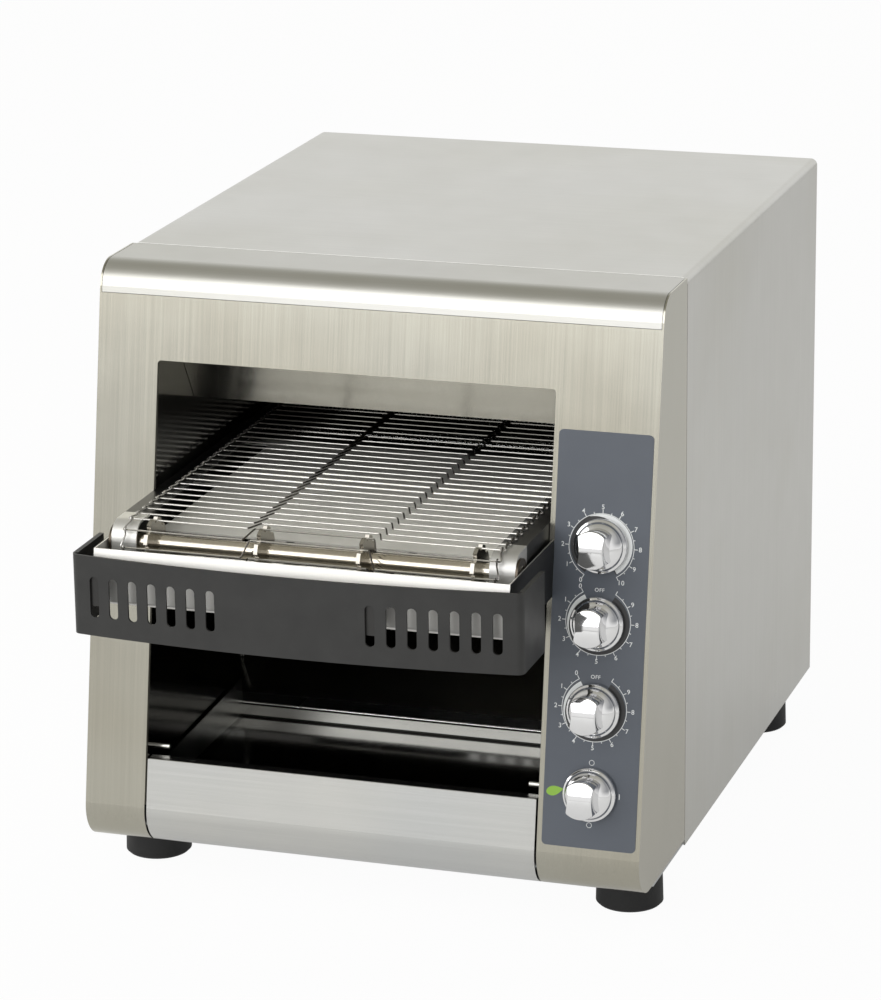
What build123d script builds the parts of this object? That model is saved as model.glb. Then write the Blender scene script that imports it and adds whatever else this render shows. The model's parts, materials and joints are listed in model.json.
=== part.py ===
from build123d import *

import os
from math import atan2, cos, degrees, hypot, pi, radians, sin, sqrt, tan

# Counter-top conveyor toaster: a wire belt carries bread between quartz heaters and drops it down a
# ramp into a sliding tray at the front.
# Frame: +X to the right, +Y to the rear, +Z up. The origin lies on the surface that the feet stand on,
# under the middle of the whole object. The seam is the joint between front housing and outer wrap.

os.makedirs("parts", exist_ok=True)

# ---------------------------------------------------------------- driving sizes
# Body
body_width = 368.0
body_height = 375.0
body_depth = 358.0  # seam to back
foot_height = 21.5
skin = 1.0  # wrap, rear panel
plate = 1.2  # fascia, trim, base pan, trays
liner = 1.0  # sheets inside the chamber
wrap_bend = 4.0
sheet_bend = 2.0
seam_gap = 0.6
fit_gap = 0.3  # between neighbouring sheets
shaft_fit = 0.05  # radial, between a shaft and its bore

# Front housing: a sloping face between a rounded trim and a rounded nose
face_tilt = radians(9.7)
joint_reach = 56.0  # seam to the face, at the joint under the trim
trim_drop = 19.0  # top to the joint under the trim
trim_radius = 18.0
nose_radius = 24.0
nose_lift = 4.0
flange_gap = 2.0  # nose flange to base pan
opening_width = 261.5
opening_offset = -12.75
opening_height = 316.0
opening_corner = 2.5

# Base pan and rear panel
pan_reach = 72.0  # seam to the pan's front
pan_flange = 12.0
panel_flange = 10.0
vent_length = 60.0
vent_width = 5.0
vent_pitch = 14.0
vent_count = 10
grille_slot = 4.0
grille_pitch = 9.0

# Chamber
wall_step = 0.5  # chamber walls stand inside the opening's edges
chamber_end = 22.0  # chamber's rear edge to the back
wall_foot = 8.0
wall_margin = 3.0  # walls rise above the baffle's top
wall_relief = 6.0  # walls leave the face above the nose
roof_height = 306.0
roof_flange = 10.0
baffle_top = 330.0
baffle_bottom = 277.0
baffle_reach = 36.0  # seam to the baffle's upper bend
baffle_run = 32.0
reflector_height = 190.0
reflector_reach = 60.0
reflector_depth = 290.0
reflector_flange = 10.0

# Conveyor
belt_height = 236.0  # strand centres of the top run
belt_pitch = 11.1
belt_run = 422.0  # shaft to shaft, taken to the nearest whole pitch
belt_side_gap = 7.5  # belt edge to chamber wall
wire = 1.6
strand_gap = 0.5
link_offset = 40.7  # Z-bends, from the belt's middle
hook_end = 1.2
shaft_reach = 140.5  # seam to the front shaft
shaft_radius = 5.5
sprocket_teeth = 8
sprocket_thickness = 2.5
inner_sprocket = 33.0  # from the belt's middle
outer_sprocket_inset = 25.25  # from the chamber wall
sprocket_tip = 1.6
strand_play = 0.55  # round a strand in its pocket
bush_radius = 7.5
bush_flange_radius = 10.0
bush_flange = 1.5
rail_plate = 1.5
rail_flange = 16.5
rail_depth = 38.0
rail_nose = 12.0
rail_nose_reach = 9.0  # ahead of the front shaft
rail_drop = 21.5
rail_gap = 0.3  # strands above the rail flange
rail_overrun = 15.0  # behind the drive shaft
rail_step = 68.5  # front shaft to the web's full depth
shield_reach = 117.0
shield_depth = 217.0
shield_gap = 3.0  # beside the rail flanges
shield_tab = 15.0

# Heaters
heater_radius = 5.5
heater_bore = 4.5
upper_heater_height = 288.0
upper_heater_places = (50.0, 120.0, 190.0)  # behind the seam
lower_heater_places = (120.0, 182.0, 244.0)
heater_gap = 0.5
cap_size = 16.0
cap_length = 14.0
cap_socket = 10.0

# Chain drive
chain_pitch = 9.525
chain_teeth = 12
chain_run = 114.0  # wheel to wheel, taken to the nearest whole pitch
chain_offset = 10.0  # chain's middle, outside the chamber wall
chain_tip = 1.8
chain_play = 0.25  # round a roller in its pocket
roller_radius = 2.5
roller_width = 4.0
link_plate = 0.9
link_height = 7.0
wheel_thickness = 3.4
wheel_hub_radius = 9.0
wheel_hub = 2.4
motor_shaft_radius = 4.0
motor_shaft_length = 14.0
gearbox_size = 58.0
gearbox_depth = 24.0
gearbox_corner = 5.0
gearbox_drop = 8.0  # gearbox middle below its output shaft
boss_radius = 8.0
boss_length = 3.5
motor_radius = 25.0
motor_depth = 18.0
mount_plate = 2.0
mount_offset = 8.0  # chain's middle to the mounting face
mount_half = 28.0
mount_foot = 12.0
mount_height = 64.0

# Fan
fan_size = 60.0
fan_depth = 25.0
fan_bore = 28.0
fan_height = 92.0
fan_corner = 4.0
fan_hub = 12.0
fan_strut = 3.0
fan_pin = 2.0
fan_pin_length = 12.5
fan_gap = 0.5
fan_blades = 7
blade_chord = 14.0
blade_thickness = 1.2
blade_pitch = 35.0
blade_reach = 26.5

# Feed tray and guard
tray_step = 3.0  # feed tray's sides stand outside the opening's edges
feed_reach = 172.0
feed_floor = 189.5
feed_top = 224.5
feed_lip = 10.5
feed_lean = 2.5
feed_bend = 3.0
face_gap = 0.1
guard_reach = 189.5
guard_step = 13.5
guard_bow = 9.5
guard_bottom = 172.0
guard_height = 51.0
guard_side = 45.0
guard_skin = 1.5
guard_corner = 4.0
guard_hem = 8.0
slot_pitch = 13.0
slot_count = 7
slot_inset = 54.25  # guard's side to the middle of a slot group
slot_width = 6.0
slot_length = 26.0
slot_rise = 25.0
left_bracket_inset = 11.25  # from the guard's left side
right_bracket = 46.5  # from the guard's middle
bracket_width = 7.0
bracket_bottom = 190.5
bracket_height = 19.0

# Receiving tray
tray_gap = 1.4
tray_tilt = radians(2.7)
tray_top = 64.0
tray_hem = 8.0
tray_floor = 34.5  # top of the floor, at its rear end
tray_end = 62.0  # behind the seam
tray_wall = 27.0
tray_rear_lip = 10.0
runner_width = 8.0
runner_length = 145.0
runner_skin = 1.5
pin_radius = 2.0
pin_reach = 89.5
pin_height = 67.5
pin_length = 10.0

# Discharge ramp
ramp_skin = 0.8
ramp_slope = radians(31.2)
ramp_start = 63.0
ramp_height = 51.5
ramp_bend = 60.0
cheek_height = 22.0
cheek_start = 14.0
cheek_length = 190.0
cheek_round = 12.0

# Controls
overlay_width = 60.0
overlay_bottom = 37.0
overlay_top = 292.5
overlay_skin = 0.5
overlay_corner = 3.0
knob_column = 151.2
knob_heights = (223.5, 176.0, 122.7, 71.0)
knob_radius = 17.0
knob_skirt = 4.0
shoulder_radius = 13.8
shoulder_height = 8.0
knob_height = 25.5
knob_lift = 0.8
knob_bore = 14.0
grip_length = 24.0
grip_width = 17.6
grip_waist = 15.0
grip_dome = 30.0
spindle_radius = 3.0
spindle_clearance = 1.2
control_set_back = 12.0
control_bracket_width = 50.0
control_bracket_margin = 24.0
bushing_radius = 4.5
bushing_length = 4.0
control_radius = 11.5
control_depth = 13.0
spindle_seat = 8.0
switch_size = 27.0
switch_depth = 30.0

# Supply
gland_height = 30.0
gland_reach = 9.0
gland_radius = 8.0
gland_flange_radius = 11.0
gland_flange = 3.0
gland_nut = 4.0
gland_bore = 4.0
terminal_place = 150.0
terminal_width = 22.0
terminal_length = 46.0
terminal_height = 15.0
terminal_ways = 4
terminal_rows = 13.2  # middle to middle
terminal_pocket = 6.7

# Feet
foot_radius = 21.5
foot_top_radius = 21.0
foot_chamfer = 1.5
foot_inset = 23.5
front_foot_reach = 47.6
rear_foot_place = 290.0
stud_radius = 3.9
stud_length = 8.0

# ---------------------------------------------------------------- places that follow
half_width = body_width / 2
seam_y = (guard_reach - body_depth - gland_reach) / 2
back_y = seam_y + body_depth
panel_y = back_y - skin
bottom_z = foot_height
top_z = bottom_z + body_height
joint_z = top_z - trim_drop

opening_left = opening_offset - opening_width / 2
opening_right = opening_offset + opening_width / 2
chamber_left = opening_left + wall_step
chamber_right = opening_right - wall_step
chamber_width = chamber_right - chamber_left
chamber_y = back_y - chamber_end
compartment_x = (chamber_right + liner + half_width - skin) / 2

pan_front = seam_y - pan_reach
pan_half = half_width - plate - fit_gap
pan_z = bottom_z + plate

belt_z = bottom_z + belt_height
belt_spans = round(belt_run / belt_pitch)
sprocket_radius = belt_pitch / (2 * sin(pi / sprocket_teeth))
shaft_z = belt_z - sprocket_radius
front_shaft_y = seam_y - shaft_reach
drive_shaft_y = front_shaft_y + belt_spans * belt_pitch
rail_top = belt_z - wire / 2 - rail_gap
upper_heaters_yz = [(seam_y + place, bottom_z + upper_heater_height) for place in upper_heater_places]
lower_heaters_yz = [(seam_y + place, shaft_z) for place in lower_heater_places]
heaters_yz = upper_heaters_yz + lower_heaters_yz

chain_x = chamber_right + liner + chain_offset
chain_radius = chain_pitch / (2 * sin(pi / chain_teeth))
chain_spans = round(chain_run / chain_pitch)
motor_z = shaft_z - chain_spans * chain_pitch
mount_x = chain_x + mount_offset
fan_z = bottom_z + fan_height

feed_left = opening_left - tray_step
feed_right = opening_right + tray_step
feed_y = seam_y - feed_reach
guard_half = opening_width / 2 + guard_step
guard_y = seam_y - guard_reach
guard_corner_y = guard_y + guard_bow
guard_z = bottom_z + guard_bottom
bow_radius = (guard_half**2 + guard_bow**2) / (2 * guard_bow)

tray_left = opening_left + tray_gap
tray_width = opening_width - 2 * tray_gap


# ---------------------------------------------------------------- shared shapes
def face_y(height, inset=0.0):
    """Depth of the sloping face at a height, or of a sheet set in behind it."""
    return seam_y - joint_reach - (joint_z - height) * tan(face_tilt) + inset / cos(face_tilt)


def front_outline(inset):
    """Side outline of the front housing, set in all round: top, trim curve, face and nose."""
    high = top_z - inset
    low = bottom_z + nose_lift + inset
    crown = (face_y(high, inset), high)
    nose = (face_y(low, inset), low)
    with BuildSketch() as made:
        with BuildLine():
            Polyline((seam_y, high), crown, nose, (seam_y, low), close=True)
        make_face()
        fillet(made.vertices().sort_by_distance(crown)[0], trim_radius - inset)
        fillet(made.vertices().sort_by_distance(nose)[0], nose_radius - inset)
    return made.sketch


def folded(points, thickness, bend):
    """Section of a folded sheet along its middle line."""
    with BuildSketch() as made:
        with BuildLine():
            FilletPolyline(*points, radius=bend)
        trace(line_width=thickness)
    return made.sketch


def toothed_wheel(teeth, radius, tip, pocket, bore):
    """Flat wheel with one flared pocket for each strand or roller that it carries."""
    flare = pocket + tip + pocket
    with BuildSketch() as made:
        Circle(radius + tip)
        with PolarLocations(radius - pocket, teeth):
            Polygon((0, pocket), (0, -pocket), (2 * pocket + tip, -flare), (2 * pocket + tip, flare),
                    align=None, mode=Mode.SUBTRACT)
        Circle(bore, mode=Mode.SUBTRACT)
    return made.sketch


def loop_stations(pitch, teeth, spans):
    """Corners of a loop of equal pitches round two equal wheels, as (along, across) from the first."""
    radius = pitch / (2 * sin(pi / teeth))
    turns = [2 * pi * k / teeth for k in range(1, teeth // 2)]
    ahead = [(i * pitch, radius) for i in range(spans + 1)]
    far_turn = [(spans * pitch + radius * sin(a), radius * cos(a)) for a in turns]
    back = [(i * pitch, -radius) for i in range(spans, -1, -1)]
    near_turn = [(-radius * sin(a), -radius * cos(a)) for a in turns]
    return ahead + far_turn + back + near_turn


def side_plane(x, y, z):
    """Plane across the X axis, with its own x to the rear and its own y up."""
    return Plane(origin=(x, y, z), x_dir=(0, 1, 0), z_dir=(1, 0, 0))


def face_plane(height, lift=0.0):
    """Plane on the sloping face at the knob column, lifted off it: x to the right, y up the slope."""
    origin = (knob_column, face_y(height) - lift * cos(face_tilt), height + lift * sin(face_tilt))
    return Plane(origin=origin, x_dir=(1, 0, 0), z_dir=(0, -cos(face_tilt), sin(face_tilt)))


# ---------------------------------------------------------------- housing
wrap_side = half_width - skin / 2
wrap_top = top_z - skin / 2
with BuildPart() as outer_wrap:
    with BuildSketch(Plane.XZ.offset(-back_y)):
        add(folded([(-wrap_side, bottom_z), (-wrap_side, wrap_top), (wrap_side, wrap_top),
                    (wrap_side, bottom_z)], skin, wrap_bend))
    extrude(amount=body_depth - seam_gap)
outer_wrap.part.label = "outer_wrap"
export_step(outer_wrap.part, "parts/outer_wrap.step")

trim_half = half_width - plate - fit_gap
with BuildPart() as top_trim:
    with BuildSketch(Plane.YZ.offset(-trim_half)):
        add(front_outline(0))
        add(front_outline(plate), mode=Mode.SUBTRACT)
        with Locations((seam_y, joint_z + fit_gap)):
            Rectangle(body_depth, body_height, align=(Align.CENTER, Align.MAX), mode=Mode.SUBTRACT)
    extrude(amount=2 * trim_half)
top_trim.part.label = "top_trim"
export_step(top_trim.part, "parts/top_trim.step")

inner_width = body_width - 2 * plate
with BuildPart() as front_fascia:
    with BuildSketch(Plane.YZ.offset(-half_width)):
        add(front_outline(0))
    extrude(amount=body_width)
    with BuildSketch(Plane.YZ.offset(-half_width + plate)):
        add(front_outline(plate))
    extrude(amount=inner_width, mode=Mode.SUBTRACT)
    # Between the side returns the trim takes over above the joint, and the nose ends in a flange.
    with Locations((0, seam_y, joint_z)):
        Box(inner_width, body_depth, body_height, align=(Align.CENTER, Align.CENTER, Align.MIN),
            mode=Mode.SUBTRACT)
    with Locations((0, seam_y, bottom_z)):
        Box(inner_width, 2 * (pan_reach + flange_gap), nose_radius,
            align=(Align.CENTER, Align.CENTER, Align.MIN), mode=Mode.SUBTRACT)
    with BuildSketch(Plane.XZ.offset(-seam_y)):
        with Locations((opening_offset, bottom_z)):
            Rectangle(opening_width, opening_height, align=(Align.CENTER, Align.MIN))
        fillet(vertices().group_by(Axis.Y)[-1], opening_corner)
    extrude(amount=guard_reach, mode=Mode.SUBTRACT)
    with BuildSketch(*[face_plane(bottom_z + height) for height in knob_heights]):
        Circle(spindle_radius + spindle_clearance)
    extrude(amount=-2 * plate, mode=Mode.SUBTRACT)
front_fascia.part.label = "front_fascia"
export_step(front_fascia.part, "parts/front_fascia.step")

foot_places = [(side * (half_width - foot_inset), seam_y + place)
               for place in (-front_foot_reach, rear_foot_place) for side in (-1, 1)]
pan_depth = panel_y - fit_gap - pan_front
with BuildPart() as base_pan:
    with Locations((0, pan_front, bottom_z)):
        Box(2 * pan_half, pan_depth, pan_flange, align=(Align.CENTER, Align.MIN, Align.MIN))
    offset(amount=-plate, openings=base_pan.faces().sort_by(Axis.Z)[-1])
    with BuildSketch(Plane.XY.offset(bottom_z)):
        with Locations(*foot_places):
            Circle(stud_radius + fit_gap)
    extrude(amount=plate, mode=Mode.SUBTRACT)
base_pan.part.label = "base_pan"
export_step(base_pan.part, "parts/base_pan.step")

panel_half = half_width - skin - fit_gap
panel_top = top_z - skin - fit_gap
vent_x = (chamber_left + chamber_right) / 2
with BuildPart() as rear_panel:
    with BuildSketch(Plane.XZ.offset(-back_y)):
        with Locations((0, bottom_z)):
            Rectangle(2 * panel_half, panel_top - bottom_z, align=(Align.CENTER, Align.MIN))
        fillet(vertices().group_by(Axis.Y)[-1], wrap_bend)
    extrude(amount=panel_flange)
    with BuildSketch(Plane.XZ.offset(-panel_y)):
        with Locations((0, bottom_z)):
            Rectangle(2 * (panel_half - skin), panel_top - skin - bottom_z,
                      align=(Align.CENTER, Align.MIN))
        fillet(vertices().group_by(Axis.Y)[-1], wrap_bend - skin)
    extrude(amount=panel_flange, mode=Mode.SUBTRACT)
    # The side flanges stop above the base pan's flange.
    with Locations((0, panel_y, bottom_z)):
        Box(body_width, panel_flange, pan_flange + fit_gap, align=(Align.CENTER, Align.MAX, Align.MIN),
            mode=Mode.SUBTRACT)
    with BuildSketch(Plane.XZ.offset(-back_y)):
        with Locations((vent_x, bottom_z + body_height / 2)):
            with GridLocations(vent_pitch, 1, vent_count, 1):
                SlotOverall(vent_length, vent_width, rotation=90)
        for row in range(-2, 3):
            height = 2 * sqrt(fan_bore**2 - (row * grille_pitch)**2)
            with Locations((compartment_x + row * grille_pitch, fan_z)):
                SlotOverall(height, grille_slot, rotation=90)
        with Locations((compartment_x, bottom_z + gland_height)):
            Circle(gland_radius + shaft_fit)
    extrude(amount=skin, mode=Mode.SUBTRACT)
rear_panel.part.label = "rear_panel"
export_step(rear_panel.part, "parts/rear_panel.step")


# ---------------------------------------------------------------- chamber
wall_top = bottom_z + baffle_top + wall_margin
tray_rear_y = seam_y + tray_end
tray_rear_z = bottom_z + tray_floor
tray_plane = Plane(origin=(opening_offset, tray_rear_y, tray_rear_z), x_dir=(1, 0, 0),
                   z_dir=(0, -sin(tray_tilt), cos(tray_tilt)))


def chamber_wall(inner_face, outward):
    """Side wall of the chamber, with its foot, tray runner and holes; outward is -1 or 1."""
    front = pan_front + plate + fit_gap
    nose_z = bottom_z + nose_lift + nose_radius + wall_relief
    behind_face = plate + fit_gap
    with BuildPart() as made:
        with BuildSketch(Plane.YZ.offset(inner_face)):
            with BuildLine():
                Polyline((face_y(wall_top, behind_face), wall_top),
                         (face_y(nose_z, behind_face), nose_z),
                         (front, bottom_z + pan_flange + plate), (front, pan_z),
                         (chamber_y, pan_z), (chamber_y, wall_top), close=True)
            make_face()
            with Locations((drive_shaft_y, shaft_z)):
                Circle(bush_radius + shaft_fit, mode=Mode.SUBTRACT)
            with Locations(*heaters_yz):
                Circle(heater_radius + heater_gap, mode=Mode.SUBTRACT)
        extrude(amount=outward * liner)
        with BuildSketch(Plane.YZ.offset(inner_face)):
            with Locations((front, pan_z)):
                Rectangle(chamber_y - front, plate, align=(Align.MIN, Align.MIN))
        extrude(amount=outward * (liner + wall_foot))
        with BuildSketch(side_plane(inner_face, tray_rear_y, tray_rear_z)):
            with Locations(Location((0, 0, 0), (0, 0, degrees(tray_tilt)))):
                with Locations((-runner_width, -plate - fit_gap)):
                    Rectangle(runner_length, runner_skin, align=(Align.MAX, Align.MAX))
        extrude(amount=-outward * runner_width)
    return made.part


with BuildPart() as chamber_wall_left:
    add(chamber_wall(chamber_left, -1))
chamber_wall_left.part.label = "chamber_wall_left"
export_step(chamber_wall_left.part, "parts/chamber_wall_left.step")

with BuildPart() as chamber_wall_right:
    add(chamber_wall(chamber_right, 1))
chamber_wall_right.part.label = "chamber_wall_right"
export_step(chamber_wall_right.part, "parts/chamber_wall_right.step")

sheet_left = chamber_left + fit_gap
sheet_right = chamber_right - fit_gap
sheet_width = sheet_right - sheet_left
baffle_top_z = bottom_z + baffle_top
baffle_bend = (seam_y - baffle_reach, baffle_top_z)
baffle_foot = (seam_y - baffle_reach + baffle_run, bottom_z + baffle_bottom)
with BuildPart() as front_baffle:
    with BuildSketch(Plane.YZ.offset(sheet_left)):
        add(folded([(face_y(baffle_top_z, plate + 2 * fit_gap), baffle_top_z), baffle_bend, baffle_foot],
                   liner, sheet_bend))
    extrude(amount=sheet_width)
front_baffle.part.label = "front_baffle"
export_step(front_baffle.part, "parts/front_baffle.step")

roof_z = bottom_z + roof_height
baffle_lean = baffle_run / (baffle_top - baffle_bottom)
roof_front = baffle_bend[0] + (baffle_top - roof_height) * baffle_lean + liner
roof_side = sheet_width / 2 - liner / 2
with BuildPart() as chamber_roof:
    with BuildSketch(Plane.XZ.offset(-chamber_y)):
        with Locations((opening_offset, 0)):
            add(folded([(-roof_side, roof_z + roof_flange), (-roof_side, roof_z), (roof_side, roof_z),
                        (roof_side, roof_z + roof_flange)], liner, sheet_bend))
    extrude(amount=chamber_y - roof_front)
chamber_roof.part.label = "chamber_roof"
export_step(chamber_roof.part, "parts/chamber_roof.step")

reflector_z = bottom_z + reflector_height
with BuildPart() as lower_reflector:
    with BuildSketch(Plane.XZ.offset(-(seam_y - reflector_reach + reflector_depth))):
        with Locations((opening_offset, 0)):
            add(folded([(-roof_side, reflector_z - reflector_flange), (-roof_side, reflector_z),
                        (roof_side, reflector_z), (roof_side, reflector_z - reflector_flange)],
                       liner, sheet_bend))
    extrude(amount=reflector_depth)
lower_reflector.part.label = "lower_reflector"
export_step(lower_reflector.part, "parts/lower_reflector.step")

ramp_y = seam_y + ramp_start
ramp_z = bottom_z + ramp_height
ramp_back = chamber_y - ramp_skin / 2
ramp_corner_z = ramp_z + (ramp_back - ramp_y) * tan(ramp_slope)
ramp_top = roof_z - liner / 2 - fit_gap
with BuildPart() as discharge_ramp:
    with BuildSketch(Plane.YZ.offset(sheet_left)):
        add(folded([(ramp_y, ramp_z), (ramp_back, ramp_corner_z), (ramp_back, ramp_top)],
                   ramp_skin, ramp_bend))
    extrude(amount=sheet_width)
    with BuildSketch(*[side_plane(x, ramp_y, ramp_z) for x in (sheet_left, sheet_right - ramp_skin)]):
        with Locations(Location((0, 0, 0), (0, 0, degrees(ramp_slope)))):
            with Locations((cheek_start, 0)):
                Rectangle(cheek_length, cheek_height, align=(Align.MIN, Align.MIN))
        fillet(vertices().sort_by(Axis.X)[0], cheek_round)
    extrude(amount=ramp_skin)
discharge_ramp.part.label = "discharge_ramp"
export_step(discharge_ramp.part, "parts/discharge_ramp.step")

tube_half = chamber_width / 2 + liner + cap_socket - fit_gap


def heaters(places):
    """Quartz tubes across the chamber at the given places."""
    with BuildPart() as made:
        with BuildSketch(Plane.YZ.offset(opening_offset)):
            with Locations(*places):
                Circle(heater_radius)
                Circle(heater_bore, mode=Mode.SUBTRACT)
        extrude(amount=tube_half, both=True)
    return made.part


with BuildPart() as upper_heaters:
    add(heaters(upper_heaters_yz))
upper_heaters.part.label = "upper_heaters"
export_step(upper_heaters.part, "parts/upper_heaters.step")

with BuildPart() as lower_heaters:
    add(heaters(lower_heaters_yz))
lower_heaters.part.label = "lower_heaters"
export_step(lower_heaters.part, "parts/lower_heaters.step")

cap_seat = chamber_width / 2 + liner
with BuildPart() as heater_caps:
    with BuildSketch(Plane.YZ.offset(opening_offset + cap_seat)):
        with Locations(*heaters_yz):
            Rectangle(cap_size, cap_size)
    extrude(amount=cap_length)
    with BuildSketch(Plane.YZ.offset(opening_offset + cap_seat)):
        with Locations(*heaters_yz):
            Circle(heater_radius + heater_gap)
    extrude(amount=cap_socket, mode=Mode.SUBTRACT)
    mirror(about=Plane.YZ.offset(opening_offset))
heater_caps.part.label = "heater_caps"
export_step(heater_caps.part, "parts/heater_caps.step")


# ---------------------------------------------------------------- conveyor
rail_front = front_shaft_y - rail_nose_reach
rail_back = drive_shaft_y + rail_overrun


def rail(wall_face, inward):
    """Conveyor rail: a web on the chamber wall under a flange that wraps down over a round nose."""
    low = rail_top - rail_drop
    with BuildPart() as made:
        with BuildSketch(Plane.YZ.offset(wall_face)):
            with BuildLine():
                Polyline((rail_back, rail_top), (rail_front, rail_top), (rail_front, low),
                         (front_shaft_y + rail_nose, low),
                         (front_shaft_y + rail_step, rail_top - rail_depth),
                         (rail_back, rail_top - rail_depth), close=True)
            make_face()
            fillet(vertices().sort_by_distance((rail_front, rail_top))[0], rail_nose)
            fillet(vertices().group_by(Axis.X)[-1], rail_nose)
            with Locations((front_shaft_y, shaft_z), (drive_shaft_y, shaft_z)):
                Circle(bush_radius + shaft_fit, mode=Mode.SUBTRACT)
            with Locations(*lower_heaters_yz):
                Circle(heater_radius + heater_gap, mode=Mode.SUBTRACT)
        extrude(amount=inward * rail_plate)
        with BuildSketch(Plane.YZ.offset(wall_face)):
            add(folded([(drive_shaft_y - rail_plate, rail_top - rail_plate / 2),
                        (rail_front + rail_plate / 2, rail_top - rail_plate / 2),
                        (rail_front + rail_plate / 2, low)], rail_plate, rail_nose - rail_plate / 2))
        extrude(amount=inward * rail_flange)
    return made.part


with BuildPart() as rail_left:
    add(rail(chamber_left, 1))
rail_left.part.label = "rail_left"
export_step(rail_left.part, "parts/rail_left.step")

with BuildPart() as rail_right:
    add(rail(chamber_right, -1))
rail_right.part.label = "rail_right"
export_step(rail_right.part, "parts/rail_right.step")


def bushes(place, seat):
    """Pair of flanged bushes on the outer faces of what carries them, reaching in to the rail webs."""
    with BuildPart() as made:
        with BuildSketch(side_plane(opening_offset + seat, place, shaft_z)):
            Circle(bush_flange_radius)
        extrude(amount=bush_flange)
        with BuildSketch(side_plane(opening_offset + chamber_width / 2 - rail_plate, place, shaft_z)):
            Circle(bush_radius)
        extrude(amount=seat - chamber_width / 2 + rail_plate)
        with BuildSketch(side_plane(opening_offset, place, shaft_z)):
            Circle(shaft_radius + shaft_fit)
        extrude(amount=body_width, mode=Mode.SUBTRACT)
        mirror(about=Plane.YZ.offset(opening_offset))
    return made.part


with BuildPart() as front_bushes:
    add(bushes(front_shaft_y, chamber_width / 2))
front_bushes.part.label = "front_bushes"
export_step(front_bushes.part, "parts/front_bushes.step")

with BuildPart() as drive_bushes:
    add(bushes(drive_shaft_y, chamber_width / 2 + liner))
drive_bushes.part.label = "drive_bushes"
export_step(drive_bushes.part, "parts/drive_bushes.step")

front_shaft_half = chamber_width / 2 + bush_flange - fit_gap
with BuildPart() as front_shaft:
    with BuildSketch(side_plane(opening_offset, front_shaft_y, shaft_z)):
        Circle(shaft_radius)
    extrude(amount=front_shaft_half, both=True)
front_shaft.part.label = "front_shaft"
export_step(front_shaft.part, "parts/front_shaft.step")

drive_shaft_left = chamber_left - liner - bush_flange + fit_gap
drive_shaft_right = chain_x + wheel_thickness / 2 + wheel_hub
with BuildPart() as drive_shaft:
    with BuildSketch(side_plane(drive_shaft_left, drive_shaft_y, shaft_z)):
        Circle(shaft_radius)
    extrude(amount=drive_shaft_right - drive_shaft_left)
drive_shaft.part.label = "drive_shaft"
export_step(drive_shaft.part, "parts/drive_shaft.step")


def sprockets(place):
    """Thin toothed sprockets side by side on one shaft."""
    outer_sprocket = chamber_width / 2 - outer_sprocket_inset
    offsets = (-outer_sprocket, -inner_sprocket, inner_sprocket, outer_sprocket)
    pocket = wire / 2 + strand_play
    with BuildPart() as made:
        with BuildSketch(*[side_plane(opening_offset + x, place, shaft_z) for x in offsets]):
            add(toothed_wheel(sprocket_teeth, sprocket_radius, sprocket_tip, pocket, shaft_radius))
        extrude(amount=sprocket_thickness / 2, both=True)
    return made.part


with BuildPart() as front_sprockets:
    add(sprockets(front_shaft_y))
front_sprockets.part.label = "front_sprockets"
export_step(front_sprockets.part, "parts/front_sprockets.step")

with BuildPart() as rear_sprockets:
    add(sprockets(drive_shaft_y))
rear_sprockets.part.label = "rear_sprockets"
export_step(rear_sprockets.part, "parts/rear_sprockets.step")


def strand():
    """One belt strand in its own plane: outer bars on its line, middle bar on the next, hooked ends."""
    edge = chamber_width / 2 - belt_side_gap - wire / 2
    lean = wire + strand_gap
    inner = link_offset - lean / 2
    outer = link_offset + lean / 2
    with BuildSketch() as made:
        with BuildLine():
            Polyline((-edge, belt_pitch + hook_end), (lean - edge, 0), (-outer, 0), (-inner, belt_pitch),
                     (inner, belt_pitch), (outer, 0), (edge - lean, 0), (edge, belt_pitch + hook_end))
        trace(line_width=wire)
    return made.sketch


belt_points = [(front_shaft_y + along, shaft_z + across)
               for along, across in loop_stations(belt_pitch, sprocket_teeth, belt_spans)]
strand_planes = []
for (y, z), (next_y, next_z) in zip(belt_points, belt_points[1:] + belt_points[:1]):
    normal = (0, z - next_z, next_y - y)
    strand_planes.append(Plane(origin=(opening_offset, y, z), x_dir=(1, 0, 0), z_dir=normal))
with BuildPart() as wire_belt:
    with BuildSketch(*strand_planes):
        add(strand())
    extrude(amount=wire / 2, both=True)
wire_belt.part.label = "wire_belt"
export_step(wire_belt.part, "parts/wire_belt.step")

# Plain shield between the two runs of the belt, on tabs that reach to the rail webs.
shield_half = chamber_width / 2 - rail_flange - shield_gap
shield_back = seam_y - shield_reach + shield_depth
with BuildPart() as belt_shield:
    with BuildSketch(Plane.XY.offset(shaft_z)):
        with Locations((opening_offset, shield_back)):
            Rectangle(2 * shield_half, shield_depth, align=(Align.CENTER, Align.MAX))
        for place in (shield_back - shield_tab, shield_back - shield_depth / 2):
            with Locations((opening_offset, place)):
                Rectangle(chamber_width - 2 * rail_plate - 2 * fit_gap, shield_tab)
    extrude(amount=liner)
belt_shield.part.label = "belt_shield"
export_step(belt_shield.part, "parts/belt_shield.step")


# ---------------------------------------------------------------- chain drive
chain_pocket = roller_radius + chain_play
with BuildPart() as drive_chain_wheel:
    with BuildSketch(side_plane(chain_x, drive_shaft_y, shaft_z)):
        add(toothed_wheel(chain_teeth, chain_radius, chain_tip, chain_pocket, shaft_radius))
    extrude(amount=wheel_thickness / 2, both=True)
    with BuildSketch(side_plane(chain_x + wheel_thickness / 2, drive_shaft_y, shaft_z)):
        Circle(wheel_hub_radius)
        Circle(shaft_radius, mode=Mode.SUBTRACT)
    extrude(amount=wheel_hub)
drive_chain_wheel.part.label = "drive_chain_wheel"
export_step(drive_chain_wheel.part, "parts/drive_chain_wheel.step")

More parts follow.
